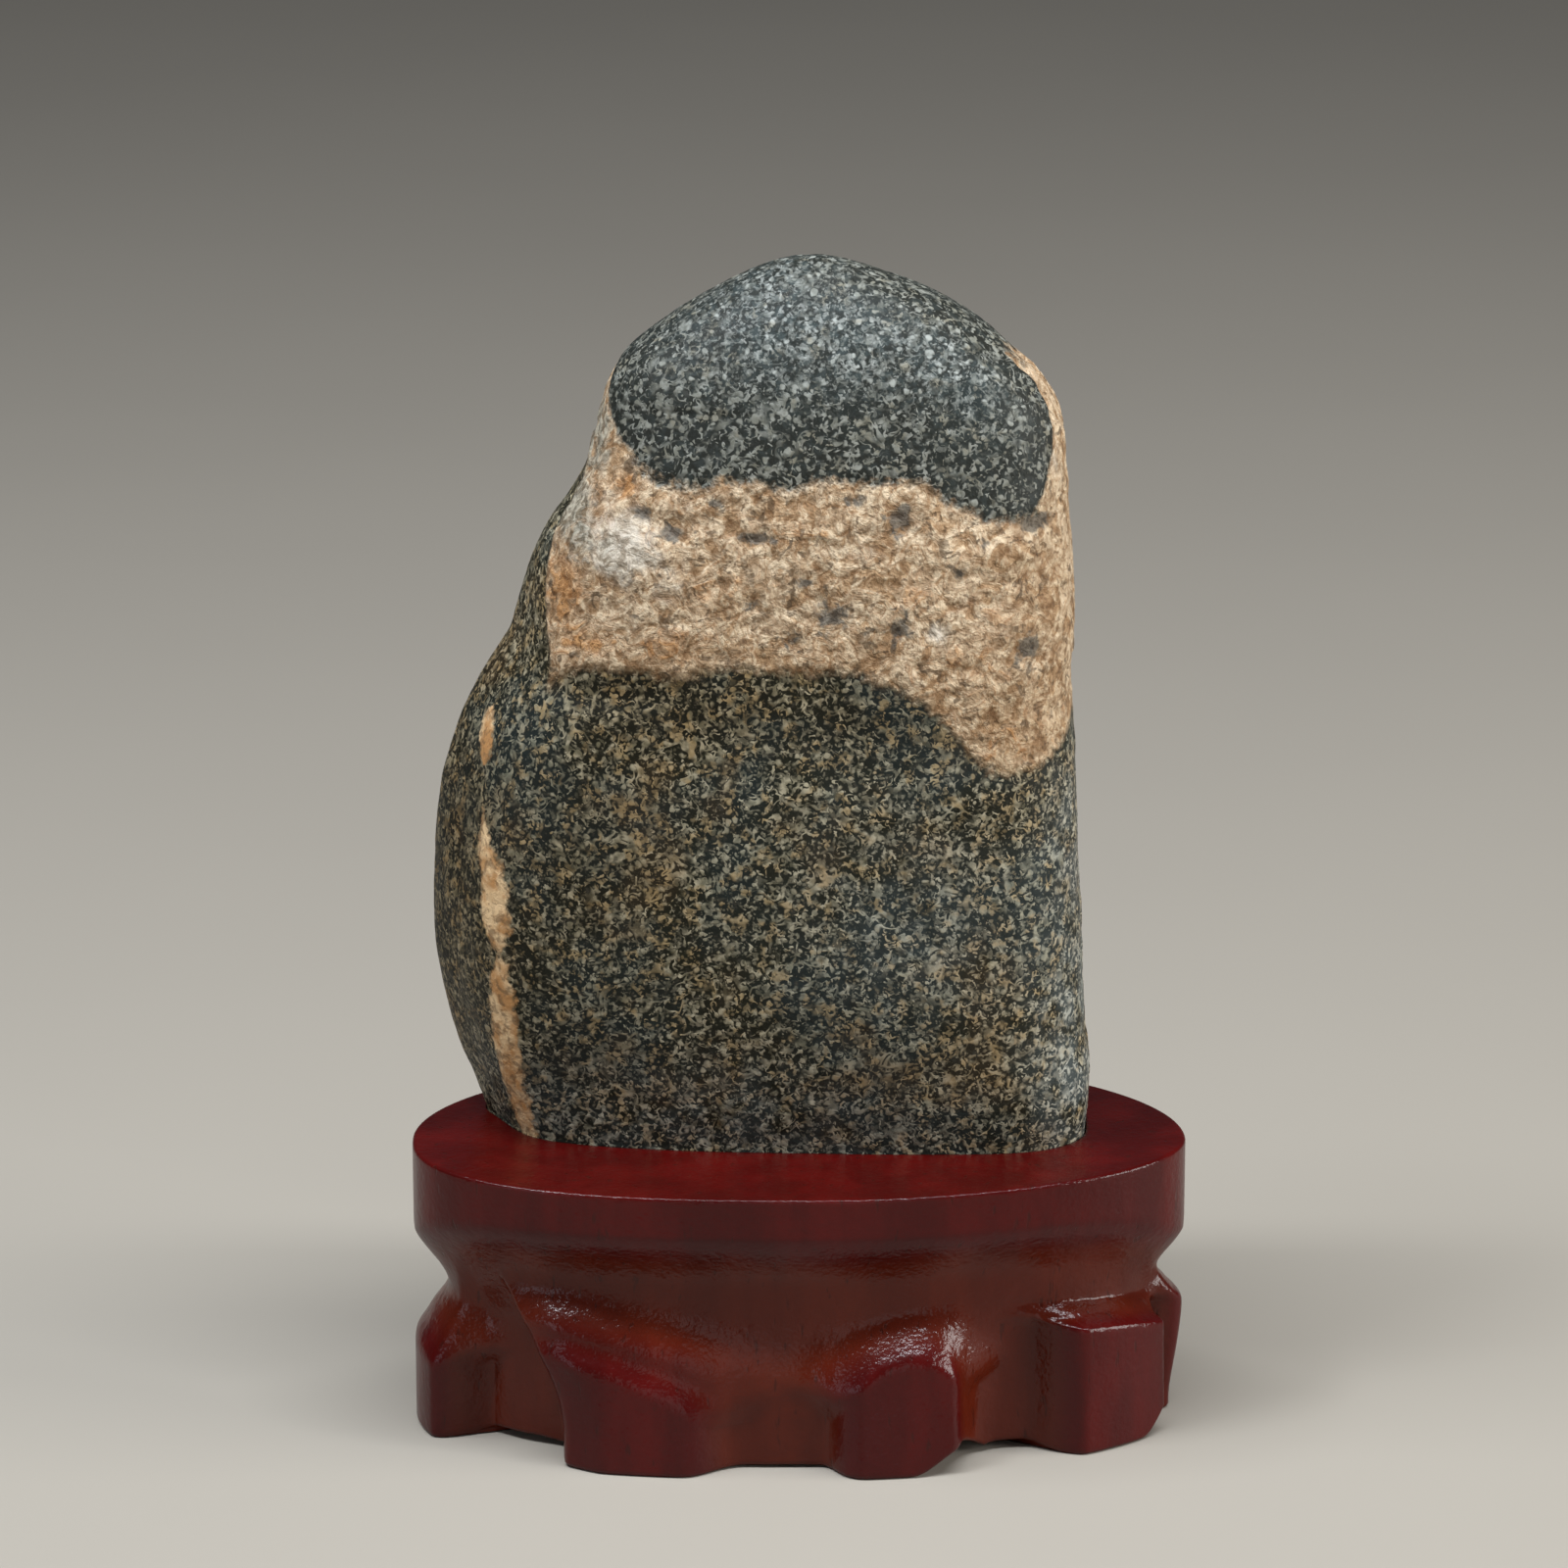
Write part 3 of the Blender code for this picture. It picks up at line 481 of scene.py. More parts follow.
def fine_relief(rows, fields):
    """Roughness, pits and ledges finer than the solid's facets."""
    above_head, above_band = fields["above_head"], fields["above_band"]
    head = ease(above_head / LAYER_START)
    band = ease(above_band / LAYER_START) * (1.0 - head)
    rough = fractal(rows, GRAIN_SIZE, 3, 21)
    lumpy = fractal(rows, LUMP_SIZE, 3, 23)
    pits = ease((fractal(rows, PIT_SIZE, 2, 29) - PIT_START) / PIT_SOFTNESS)
    in_band = BAND_LUMP_RISE * lumpy + BAND_GRAIN_RISE * rough - PIT_DEPTH * pits
    out = GRAIN_RISE * rough + band * (in_band - DARK_PIT_DEPTH * fields["dark"])
    out = out + SWELL_RISE * fractal(rows, SWELL_SIZE, 3, 31) * (1.0 - band)
    out = out + HEAD_LEDGE * (head - 0.3) * ledge(above_head, HEAD_LEDGE_WIDTH)
    left = ease((8.0 - rows[..., 0]) / 30.0)
    step = ease(above_band / LEDGE_START) - 0.5
    out = out + BAND_LEDGE * left * step * ledge(above_band, BAND_LEDGE_WIDTH)
    out = out + VEIN_RISE * ease(fields["vein"] / LEDGE_START) * (1.0 + lumpy)
    return out * ease((rows[..., 2] - 0.5) / 3.0)


def mesh_from_rows(name, rows, fields=None):
    """A closed mesh from rings of points, the first and the last one a single point, and its fields."""
    count = rows[1].shape[0]
    points = np.vstack([rows[0], *rows[1:-1], rows[-1]])
    ring = np.arange(count)
    after = np.roll(ring, -1)
    starts = 1 + count * np.arange(len(rows) - 3)[:, None]
    quads = np.stack([starts + ring, starts + after, starts + count + after, starts + count + ring], axis=-1)
    top = 1 + (len(rows) - 3) * count
    last = len(points) - 1
    lower_cap = np.stack([np.zeros(count, int), 1 + after, 1 + ring], axis=1)
    upper_cap = np.stack([top + ring, top + after, np.full(count, last)], axis=1)
    faces = quads.reshape(-1, 4).tolist() + lower_cap.tolist() + upper_cap.tolist()
    mesh = bpy.data.meshes.new(name)
    points = (points + np.array([*CENTRE_SHIFT, 0.0])) * MM
    mesh.from_pydata(points.tolist(), [], faces)
    mesh.shade_smooth()
    for key, value in (fields or {}).items():
        attribute = mesh.attributes.new(key, "FLOAT", "POINT")
        values = np.concatenate([[value[0][0]], np.concatenate(value[1:-1]), [value[-1][0]]])
        attribute.data.foreach_set("value", values.astype(np.float32))
    obj = bpy.data.objects.new(name, mesh)
    bpy.context.scene.collection.objects.link(obj)
    return obj


def make_stone():
    """The stone's fine mesh, with its layers and its patches of colour, painted light and shade among them,
    as fields.
    """
    places = even_places(STONE_ROUND)
    foot = np.linspace(-SEAT_DEPTH, -0.6, STONE_FOOT_ROWS)
    body = np.concatenate([foot, np.linspace(0.0, CROWN_START, STONE_BODY_ROWS)])
    steps = np.linspace(0.0, 1.0, STONE_CROWN_ROWS + 1)[1:-1]
    crown = STONE_TOP - (STONE_TOP - CROWN_START) * (1.0 - steps) ** 2
    heights = np.concatenate([body, crown])
    rows = np.array([np.column_stack([stone_plan(h, places), np.full(len(places), h)]) for h in heights])
    rows = rows + grid_normals(rows) * stone_relief(rows)[..., None]
    fields = stone_fields(rows, places)
    rows = rows + grid_normals(rows) * fine_relief(rows, fields)[..., None]
    sole = rows[0]
    centre = sole.mean(axis=0)
    under = [centre + (sole - centre) * share - np.array([0, 0, sag]) for share, sag in SOLE_RINGS]
    peak_ring = rows[-1].mean(axis=0)
    peak = np.array([[peak_ring[0], peak_ring[1], max(rows[-1][:, 2].max(), STONE_TOP)]])
    listed = [np.array([centre - np.array([0, 0, SOLE_SAG])]), *under, *rows, peak]
    listed = [ring + np.array([0, 0, STAND_HEIGHT]) for ring in listed]
    table = {}
    for key, value in fields.items():
        table[key] = [value[0][:1], value[0], value[0], *value, value[-1][:1]]
    return mesh_from_rows("stone_surface", listed, table)


def oval(angles):
    """The outer oval of the stand and its inward unit normals."""

    def at(t):
        c, s = np.cos(t), np.sin(t)
        front_power = OVAL_POWER_FRONT_LEFT + (OVAL_POWER_FRONT_RIGHT - OVAL_POWER_FRONT_LEFT) * ease(0.5 + c)
        power = np.where(s < 0, front_power, OVAL_POWER_BACK)
        depth = np.where(s < 0, STAND_FRONT_DEPTH, STAND_BACK_DEPTH)
        reach = (np.abs(c) ** power + np.abs(s) ** power) ** (-1.0 / power)
        y = depth * s * reach + 0.5 * (STAND_FRONT_DEPTH - STAND_BACK_DEPTH)
        return np.stack([STAND_LENGTH / 2 * c * reach, y], axis=-1)

    step = 1e-3
    along = at(angles + step) - at(angles - step)
    normal = np.stack([-along[..., 1], along[..., 0]], axis=-1)
    return at(angles), normal / np.linalg.norm(normal, axis=-1, keepdims=True)


def around(angle, other):
    """Signed difference of two angles in degrees."""
    return (angle - other + 180.0) % 360.0 - 180.0


def rim_foot(degrees):
    """Height of the lower edge of the rim."""
    c = np.abs(np.cos(np.radians(degrees)))
    return STAND_HEIGHT - RIM_HEIGHT_SIDES - (RIM_HEIGHT_ENDS - RIM_HEIGHT_SIDES) * c**RIM_END_POWER


def side_edge(x, soft):
    """0 before an edge and 1 past it: a flat facet if crisp, a round one if soft, or a scoop."""
    x = np.clip(x / np.abs(soft) + 0.5, 0.0, 1.0)
    rounded = ease((soft - CRISP_EDGE) / (SOFT_EDGE - CRISP_EDGE))
    return np.where(np.less(soft, 0.0), x**SCOOP_POWER, ease(x) * rounded + x * (1.0 - rounded))


def between_edges(degrees, first, last, soft_first, soft_last, facet=0.0):
    """1 between two edges and 0 outside them. A facet follows the first edge."""
    middle, half = 0.5 * (first + last), 0.5 * (last - first)
    away = around(degrees, middle)
    rise = side_edge(away + half, soft_first)
    if facet:
        rise = rise * (1.0 - FACET_SHARE * (1.0 - np.clip((away + half) / facet, 0.0, 1.0)))
    return rise * side_edge(half - away, soft_last)


def arch_height(degrees):
    """Height of the lower edge of the stand above the table."""
    out = np.zeros_like(degrees)
    for first, last, _, _, _, _, _, rise in HOLLOWS:
        half = 0.5 * (last - first)
        out = np.maximum(out, rise * ease(1.35 - np.abs(around(degrees, first + half)) / half))
    for first, last, rise, end in CUT_CORNERS:
        climb = ease(around(degrees, first) / (last - first))
        out = np.maximum(out, rise * climb * np.clip(around(last + end, degrees) / end, 0.0, 1.0))
    return out


def foot_marks(foot, degrees):
    """Height of a foot's face and of the shoulder above it, held level past the foot's edges."""
    first, last, _, _, _, high_first, high_last, arch, _, top_first, top_last, *_ = foot
    share = np.clip(around(degrees, 0.5 * (first + last)) / (last - first) + 0.5, 0.0, 1.0)
    crest = high_first + (high_last - high_first) * share + arch * (1.0 - (2.0 * share - 1.0) ** 2)
    return crest, top_first + (top_last - top_first) * share


def flank_marks(degrees):
    """The same two heights all round the flank, carried on across the hollows between the feet."""
    turns = np.concatenate([np.linspace(foot[0], foot[1], 7) for foot in FEET])
    heights = np.concatenate([foot_marks(foot, np.linspace(foot[0], foot[1], 7)) for foot in FEET], axis=1)
    return [np.interp(degrees, turns, line, period=360.0) for line in heights]


def leaning(z):
    """How far the leaning edge has moved at a height, in degrees."""
    return LEAN * np.maximum(z - LEAN_START, 0.0) ** 2


def leaned(edge, z):
    """An edge of a foot at a height: the leaning one moves, the others stand upright."""
    return edge + leaning(z) if edge == LEANING_EDGE else edge


def carving(degrees, z):
    """How far the flank of the stand is cut in behind the oval."""
    down = np.clip((rim_foot(degrees) - z) / COVE_HEIGHT, 0.0, 1.0)
    inset = WAIST_INSET * 0.5 * (ease(down) + 1.0 - (1.0 - down) ** COVE_POWER)
    for first, last, soft_first, soft_last, depth, start, fade, _ in HOLLOWS:
        across = between_edges(degrees, leaned(first, z), leaned(last, z), soft_first, soft_last)
        inset = inset + depth * across * ease((start - z) / fade)
    for foot in FEET:
        first, last, soft_first, soft_last, facet, _, _, _, forward, _, _, lower, upper_start = foot
        crest, top = foot_marks(foot, degrees)
        up = np.clip((z - crest) / (top - crest), 0.0, 1.0)
        spread = ease(up / LOWER_STEP)
        free = 0.0 if first == LEANING_EDGE else spread
        side = between_edges(
            degrees,
            leaned(first, z) - SHOULDER_SPREAD * free,
            last + SHOULDER_SPREAD * spread,
            soft_first + np.sign(soft_first) * SHOULDER_SOFTNESS * free,
            soft_last + np.sign(soft_last) * SHOULDER_SOFTNESS * spread,
            facet,
        )
        upper = ease((up - upper_start) / (1.0 - upper_start))
        out = 1.0 - lower * spread - (1.0 - lower) * upper
        inset = inset * (1.0 - side * out) - forward * side * out * ease((crest - z) / crest)
    return inset


def edge_drift(degrees, z):
    """Shift that lets the mesh lines follow the leaning edge."""
    near = np.exp(-((around(degrees, LEANING_EDGE) / DRIFT_REACH) ** 2))
    fade = ease((STAND_HEIGHT - LEVEL_GAP - z) / (STAND_HEIGHT - LEVEL_GAP - DRIFT_TOP))
    return leaning(np.minimum(z, DRIFT_TOP)) * near * fade


def flank_grid(degrees, levels):
    """The flank as a grid. Levels 0 to 4: its lower edge, the feet's crest, the waist, the rim, the top."""
    low = arch_height(degrees)
    crest, top = flank_marks(degrees)
    crest = np.maximum(crest, low + LEVEL_GAP)
    rim = rim_foot(degrees)
    waist = np.minimum(top, rim - LEVEL_GAP)
    marks = [low + FOOT_EDGE_ROUND, crest, waist, rim, np.full_like(low, STAND_HEIGHT - RIM_EDGE_ROUND)]
    z, turned = [], []
    for level in levels:
        step = min(int(level), 3)
        row = marks[step] + (marks[step + 1] - marks[step]) * (level - step)
        z.append(row)
        turned.append(degrees + edge_drift(degrees, row))
    return np.array(turned), np.array(z)


def blurred(grid, times):
    """Edges of a grid rounded off a little, as wear and lacquer do."""
    for _ in range(times):
        sideways = 0.25 * np.roll(grid, 1, axis=1) + 0.5 * grid + 0.25 * np.roll(grid, -1, axis=1)
        padded = np.vstack([sideways[:1], sideways, sideways[-1:]])
        grid = 0.25 * padded[:-2] + 0.5 * padded[1:-1] + 0.25 * padded[2:]
    return grid


def seat_ring(turn_round, height):
    """The outline of the seat at a height from the stand's top: the stone's own, with the gap round it."""
    ring = stone_plan(height, np.linspace(0, len(BODY_PLAN), 40 * len(BODY_PLAN), endpoint=False))
    ring = ring + outward(ring) * SEAT_GAP
    turn = np.arctan2(ring[:, 1], ring[:, 0]) % (2 * math.pi)
    order = np.argsort(turn)
    reach = np.interp(turn_round, turn[order], np.hypot(ring[:, 0], ring[:, 1])[order], period=2 * math.pi)
    return np.stack([np.cos(turn_round) * reach, np.sin(turn_round) * reach], axis=1)


def make_stand():
    """The stand's fine mesh, with how deep each point is carved as a field."""
    degrees = np.linspace(0.0, 360.0, STAND_ROUND, endpoint=False)
    levels = []
    for start, count in enumerate(STAND_ROWS):
        levels.extend(start + np.arange(count) / count)
    turned, z = flank_grid(degrees, [*levels, 4.0])
    inset = blurred(carving(turned, z), 3)
    base, inward = oval(np.radians(turned))
    flank = np.dstack([base + inward * inset[..., None], z])
    tool = sum(depth * fractal(flank, size, octaves, seed) for size, octaves, seed, depth in TOOL_MARKS)
    tool = tool * ease((STAND_HEIGHT - 2.0 - flank[..., 2]) / 6.0) * ease(inset / 1.5)
    flank[..., :2] -= inward * tool[..., None]
    base, inward = oval(np.radians(degrees))
    low = arch_height(degrees)
    full = np.ones(len(base))
    edge_rows = []
    for share in FOOT_EDGE_SHARES:
        line = flank[0][:, :2] + inward * (FOOT_EDGE_ROUND * (1.0 - math.sqrt(1.0 - share**2)))
        edge_rows.append(np.column_stack([line, low + FOOT_EDGE_ROUND * (1.0 - share)]))
    edge = edge_rows[0]
    reach = np.hypot(edge[:, 0], edge[:, 1])[:, None]
    pad_height = np.minimum(low, UNDERSIDE_RECESS - PAD_LIP)
    pad = np.column_stack([edge[:, :2] * (1.0 - PAD_WIDTH / reach), pad_height])
    recess = np.column_stack([edge[:, :2] * (1.0 - (PAD_WIDTH + PAD_STEP) / reach), full * UNDERSIDE_RECESS])
    underside = [np.array([[0.0, 0.0, UNDERSIDE_RECESS]]), recess * np.array([0.5, 0.5, 1.0]), recess, pad]
    rows = [*underside, *edge_rows, *flank]
    for turn in RIM_EDGE_SHARES:
        a = 0.5 * math.pi * turn
        line = base + inward * RIM_EDGE_ROUND * (1.0 - math.cos(a))
        rows.append(np.column_stack([line, full * (STAND_HEIGHT - RIM_EDGE_ROUND * (1.0 - math.sin(a)))]))
    rim = rows[-1][:, :2]
    turn = np.arctan2(base[:, 1], base[:, 0]) % (2 * math.pi)
    mouth = seat_ring(turn, 0.0)
    for share in TOP_SHARES:
        rows.append(np.column_stack([rim + (mouth - rim) * share, full * STAND_HEIGHT]))
    for height in SEAT_LEVELS:
        rows.append(np.column_stack([seat_ring(turn, height), full * (STAND_HEIGHT + height)]))
    floor_height = STAND_HEIGHT - SEAT_DEPTH - SOLE_SAG - SEAT_GAP
    wall_foot = rows[-1][:, :2]
    centre = wall_foot.mean(axis=0)
    rows.append(np.column_stack([centre + (wall_foot - centre) * SEAT_FLOOR_SHARE, full * floor_height]))
    rows.append(np.array([[*centre, floor_height]]))
    depth = [np.full(1, WAIST_INSET), *[full * WAIST_INSET] * 3, *[inset[0]] * len(edge_rows), *inset]
    depth.extend([full * 0.0] * (len(rows) - len(depth)))
    return mesh_from_rows("stand_surface", rows, {"depth": depth})


class Shader:
    """A material's node tree, with short names for the nodes used here."""

    def __init__(self, name):
        self.material = bpy.data.materials.new(name)
        self.material.use_nodes = True
        self.tree = self.material.node_tree
        self.surface = self.tree.nodes["Principled BSDF"]
        self.place = self.tree.nodes.new("ShaderNodeTexCoord").outputs["Object"]

    def put(self, socket, value):
        """Links a node's output to the socket, or sets a plain value on it."""
        if isinstance(value, bpy.types.NodeSocket):
            self.tree.links.new(value, socket)
        elif socket.type == "RGBA" and len(value) == 3:
            socket.default_value = (*value, 1.0)
        else:
            socket.default_value = value

    def field(self, name):
        """A value that the mesh carries at each point."""
        node = self.tree.nodes.new("ShaderNodeAttribute")
        node.attribute_name = name
        return node.outputs["Fac"]

    def noise(self, scale, detail=2.0, rough=0.5, distortion=0.0, stretch=None, shift=0.0):
        """Cloudy noise with this many features a metre."""
        node = self.tree.nodes.new("ShaderNodeTexNoise")
        values = {"Scale": scale, "Detail": detail, "Roughness": rough, "Distortion": distortion}
        for name, value in values.items():
            node.inputs[name].default_value = value
        self.tree.links.new(self.moved(stretch, shift), node.inputs["Vector"])
        return node.outputs["Fac"]

    def moved(self, stretch, shift):
        """The place where a pattern is read, stretched and shifted."""
        if not stretch and not shift:
            return self.place
        node = self.tree.nodes.new("ShaderNodeMapping")
        node.inputs["Location"].default_value = (shift, shift * 0.7, shift * 1.3)
        node.inputs["Scale"].default_value = stretch or (1.0, 1.0, 1.0)
        self.tree.links.new(self.place, node.inputs["Vector"])
        return node.outputs["Vector"]

    def warped_cells(self, scale, reach, wobble, shift=0.0):
        """Cells with curled edges: the distance from each one's middle, and its own random number."""
        node = self.tree.nodes.new("ShaderNodeTexNoise")
        node.inputs["Scale"].default_value = wobble
        node.inputs["Detail"].default_value = 1.0
        self.tree.links.new(self.moved(None, shift), node.inputs["Vector"])
        pushed = self.tree.nodes.new("ShaderNodeVectorMath")
        pushed.operation = "MULTIPLY_ADD"
        self.tree.links.new(node.outputs["Color"], pushed.inputs[0])
        pushed.inputs[1].default_value = (reach, reach, reach)
        self.tree.links.new(self.place, pushed.inputs[2])
        cell = self.tree.nodes.new("ShaderNodeTexVoronoi")
        cell.inputs["Scale"].default_value = scale
        self.tree.links.new(pushed.outputs[0], cell.inputs["Vector"])
        return {"distance": cell.outputs["Distance"], "random": cell.outputs["Color"]}

    def math(self, operation, a, b=0.0):
        """One sum on two values."""
        node = self.tree.nodes.new("ShaderNodeMath")
        node.operation = operation
        self.put(node.inputs[0], a)
        self.put(node.inputs[1], b)
        return node.outputs[0]

    def add(self, a, b):
        return self.math("ADD", a, b)

    def less(self, a, b):
        return self.math("SUBTRACT", a, b)

    def times(self, a, b):
        return self.math("MULTIPLY", a, b)

    def most(self, first, *others):
        """The largest of several values."""
        for other in others:
            first = self.math("MAXIMUM", first, other)
        return first

    def swing(self, cloud, reach):
        """Noise moved to run evenly above and below 0."""
        return self.times(self.less(cloud, 0.5), reach)

    def curls(self, scale, thin, thick, shift):
        """Thin curling lines, where a noise crosses its middle."""
        away = self.math("ABSOLUTE", self.less(self.noise(scale, 1.2, 0.5, 1.0, shift=shift), 0.5))
        return self.step(away, thick, thin)

    def step(self, value, low, high):
        """0 at low, 1 at high, smooth between."""
        node = self.tree.nodes.new("ShaderNodeMapRange")
        node.interpolation_type = "SMOOTHSTEP"
        self.put(node.inputs["Value"], value)
        node.inputs["From Min"].default_value = low
        node.inputs["From Max"].default_value = high
        return node.outputs["Result"]

    def between(self, data_type, blend_type, share, a, b):
        """Two colours or numbers combined."""
        node = self.tree.nodes.new("ShaderNodeMix")
        node.data_type = data_type
        node.blend_type = blend_type
        self.put(node.inputs["Factor"], share)
        self.put(node.inputs["A"], a)
        self.put(node.inputs["B"], b)
        return node.outputs["Result"]

    def mix(self, share, a, b):
        """A colour between a and b."""
        return self.between("RGBA", "MIX", share, a, b)

    def tint(self, share, a, b):
        """The colour a, multiplied by b as far as share says."""
        return self.between("RGBA", "MULTIPLY", share, a, b)

    def blend(self, share, a, b):
        """A number between a and b."""
        return self.between("FLOAT", "MIX", share, a, b)

    def bump(self, height, strength, distance, under=None):
        """A surface roughened by a height, over another one where there is one."""
        node = self.tree.nodes.new("ShaderNodeBump")
        node.inputs["Strength"].default_value = strength
        node.inputs["Distance"].default_value = distance
        self.put(node.inputs["Height"], height)
        if under is not None:
            self.put(node.inputs["Normal"], under)
        return node.outputs["Normal"]


def grains(s):
    """Where the stone's pale grains are: large ones, small ones and curling ones."""
    large = s.warped_cells(600.0, 0.0016, 560.0)
    grain = s.step(s.less(s.times(large["random"], 0.56), large["distance"]), 0.0, 0.20)
    small = s.warped_cells(1150.0, 0.0008, 1000.0, shift=3.0)
    crumb = s.step(s.less(s.times(small["random"], 0.66), small["distance"]), -0.04, 0.22)
    crowded = s.step(s.noise(520.0, 2.0, 0.5, shift=28.0), 0.36, 0.58)
    short = s.step(s.noise(960.0, 1.2, 0.5, 0.9, shift=26.0), 0.535, 0.615)
    short = s.times(short, s.blend(crowded, 0.35, 1.0))
    broken = s.step(s.noise(420.0, 1.0, 0.5, shift=33.0), 0.46, 0.60)
    long = s.times(s.curls(340.0, 0.030, 0.080, 2.1), broken)
    patch = s.step(s.noise(210.0, 2.0, 0.5, shift=9.0), 0.34, 0.62)
    return grain, crumb, s.most(short, s.times(long, s.blend(patch, 0.2, 1.0)))


def body_colour(s, clouds, pale):
    """Dark stone with pale grains, cooler or warmer in clouds, and painted light that makes it paler and
    cooler at the right side and low down.
    """
    dark = s.mix(clouds["cool"], (0.010, 0.0095, 0.004), (0.012, 0.017, 0.016))
    dark = s.mix(s.times(clouds["warm"], 0.5), dark, (0.034, 0.022, 0.010))
    dark = s.mix(s.step(clouds["ground"], 0.56, 0.76), dark, (0.040, 0.036, 0.026))
    light = s.mix(s.step(clouds["tone"], 0.36, 0.64), (0.148, 0.131, 0.081), (0.370, 0.328, 0.226))
    light = s.mix(s.times(clouds["cool"], 0.45), light, (0.170, 0.190, 0.160))
    light = s.mix(s.times(s.step(clouds["hue"], 0.50, 0.62), 0.6), light, (0.340, 0.235, 0.105))
    light = s.mix(s.times(clouds["warm"], 0.35), light, (0.300, 0.190, 0.080))
    # Painted light: the field named pale makes the stone paler and cooler where light falls on the right side
    # and low down
    painted_light = s.times(s.field("pale"), s.step(clouds["coarse"], 0.30, 0.60))
    dark = s.mix(painted_light, dark, (0.050, 0.062, 0.062))
    light = s.mix(s.times(painted_light, 0.8), light, (0.380, 0.400, 0.370))
    return s.mix(pale, dark, light)


def head_colour(s, clouds, low, dotted, curled):
    """The head: bluish and dotted near its top, browner with curling grains lower down."""
    dark = s.mix(clouds["cool"], (0.015, 0.019, 0.017), (0.016, 0.027, 0.029))
    dark = s.mix(s.step(clouds["ground"], 0.44, 0.66), dark, (0.046, 0.064, 0.065))
    dark = s.mix(s.times(low, 0.75), dark, (0.016, 0.016, 0.012))
    light = s.mix(s.step(clouds["tone"], 0.36, 0.66), (0.185, 0.212, 0.208), (0.480, 0.522, 0.508))
    light = s.mix(s.times(s.step(clouds["hue"], 0.54, 0.66), 0.5), light, (0.300, 0.255, 0.170))
    light = s.mix(s.times(low, 0.65), light, (0.180, 0.165, 0.115))
    return s.mix(s.blend(low, dotted, curled), dark, light)


def layer_colour(s, clouds):
    """The tan layer with its seams, dots and pits, and its whitish, rusty, dark and grey patches."""
    coarse, crumbs, flecks, blotch = (clouds[name] for name in ("coarse", "crumbs", "flecks", "blotch"))
    tan = s.mix(s.step(crumbs, 0.34, 0.62), (0.330, 0.232, 0.140), (0.600, 0.475, 0.325))
    tan = s.mix(s.times(s.step(blotch, 0.52, 0.66), 0.6), tan, (0.640, 0.530, 0.385))
    tan = s.tint(s.times(s.step(blotch, 0.51, 0.40), 0.75), tan, (0.60, 0.46, 0.33))
    seams = s.most(s.curls(230.0, 0.0, 0.085, 23.0), s.times(s.curls(400.0, 0.0, 0.070, 27.0), 0.7))
    tan = s.tint(s.times(seams, 0.60), tan, (0.46, 0.34, 0.24))
    dots = s.times(s.step(flecks, 0.58, 0.65), s.step(coarse, 0.72, 0.44))
    tan = s.mix(s.times(dots, 0.75), tan, (0.080, 0.052, 0.030))
    pits = s.step(s.noise(820.0, 2.0, 0.5, 0.6, shift=41.0), 0.60, 0.66)
    tan = s.mix(s.times(pits, 0.6), tan, (0.120, 0.074, 0.040))
    white = s.step(s.add(s.field("white"), s.swing(coarse, 1.6)), 0.20, 0.90)
    white_tint = s.mix(s.step(crumbs, 0.36, 0.60), (0.270, 0.235, 0.180), (0.570, 0.525, 0.445))
    tan = s.mix(s.times(white, 0.75), tan, white_tint)
    rust = s.step(s.add(s.field("rust"), s.swing(blotch, 3.2)), 0.25, 1.0)
    tan = s.tint(rust, tan, (0.76, 0.52, 0.32))
    dark = s.step(s.add(s.field("dark"), s.add(s.swing(flecks, 1.6), s.swing(crumbs, 1.2))), 0.30, 0.85)
    dark_tint = s.mix(s.step(crumbs, 0.40, 0.62), (0.040, 0.036, 0.030), (0.120, 0.108, 0.090))
    tan = s.mix(s.times(dark, 0.85), tan, dark_tint)
    grey = s.step(s.add(s.field("grey"), s.swing(blotch, 2.0)), 0.25, 0.95)
    grey_tint = s.mix(s.step(crumbs, 0.38, 0.60), (0.075, 0.075, 0.058), (0.320, 0.315, 0.260))
    return s.mix(s.times(grey, 0.75), tan, grey_tint)


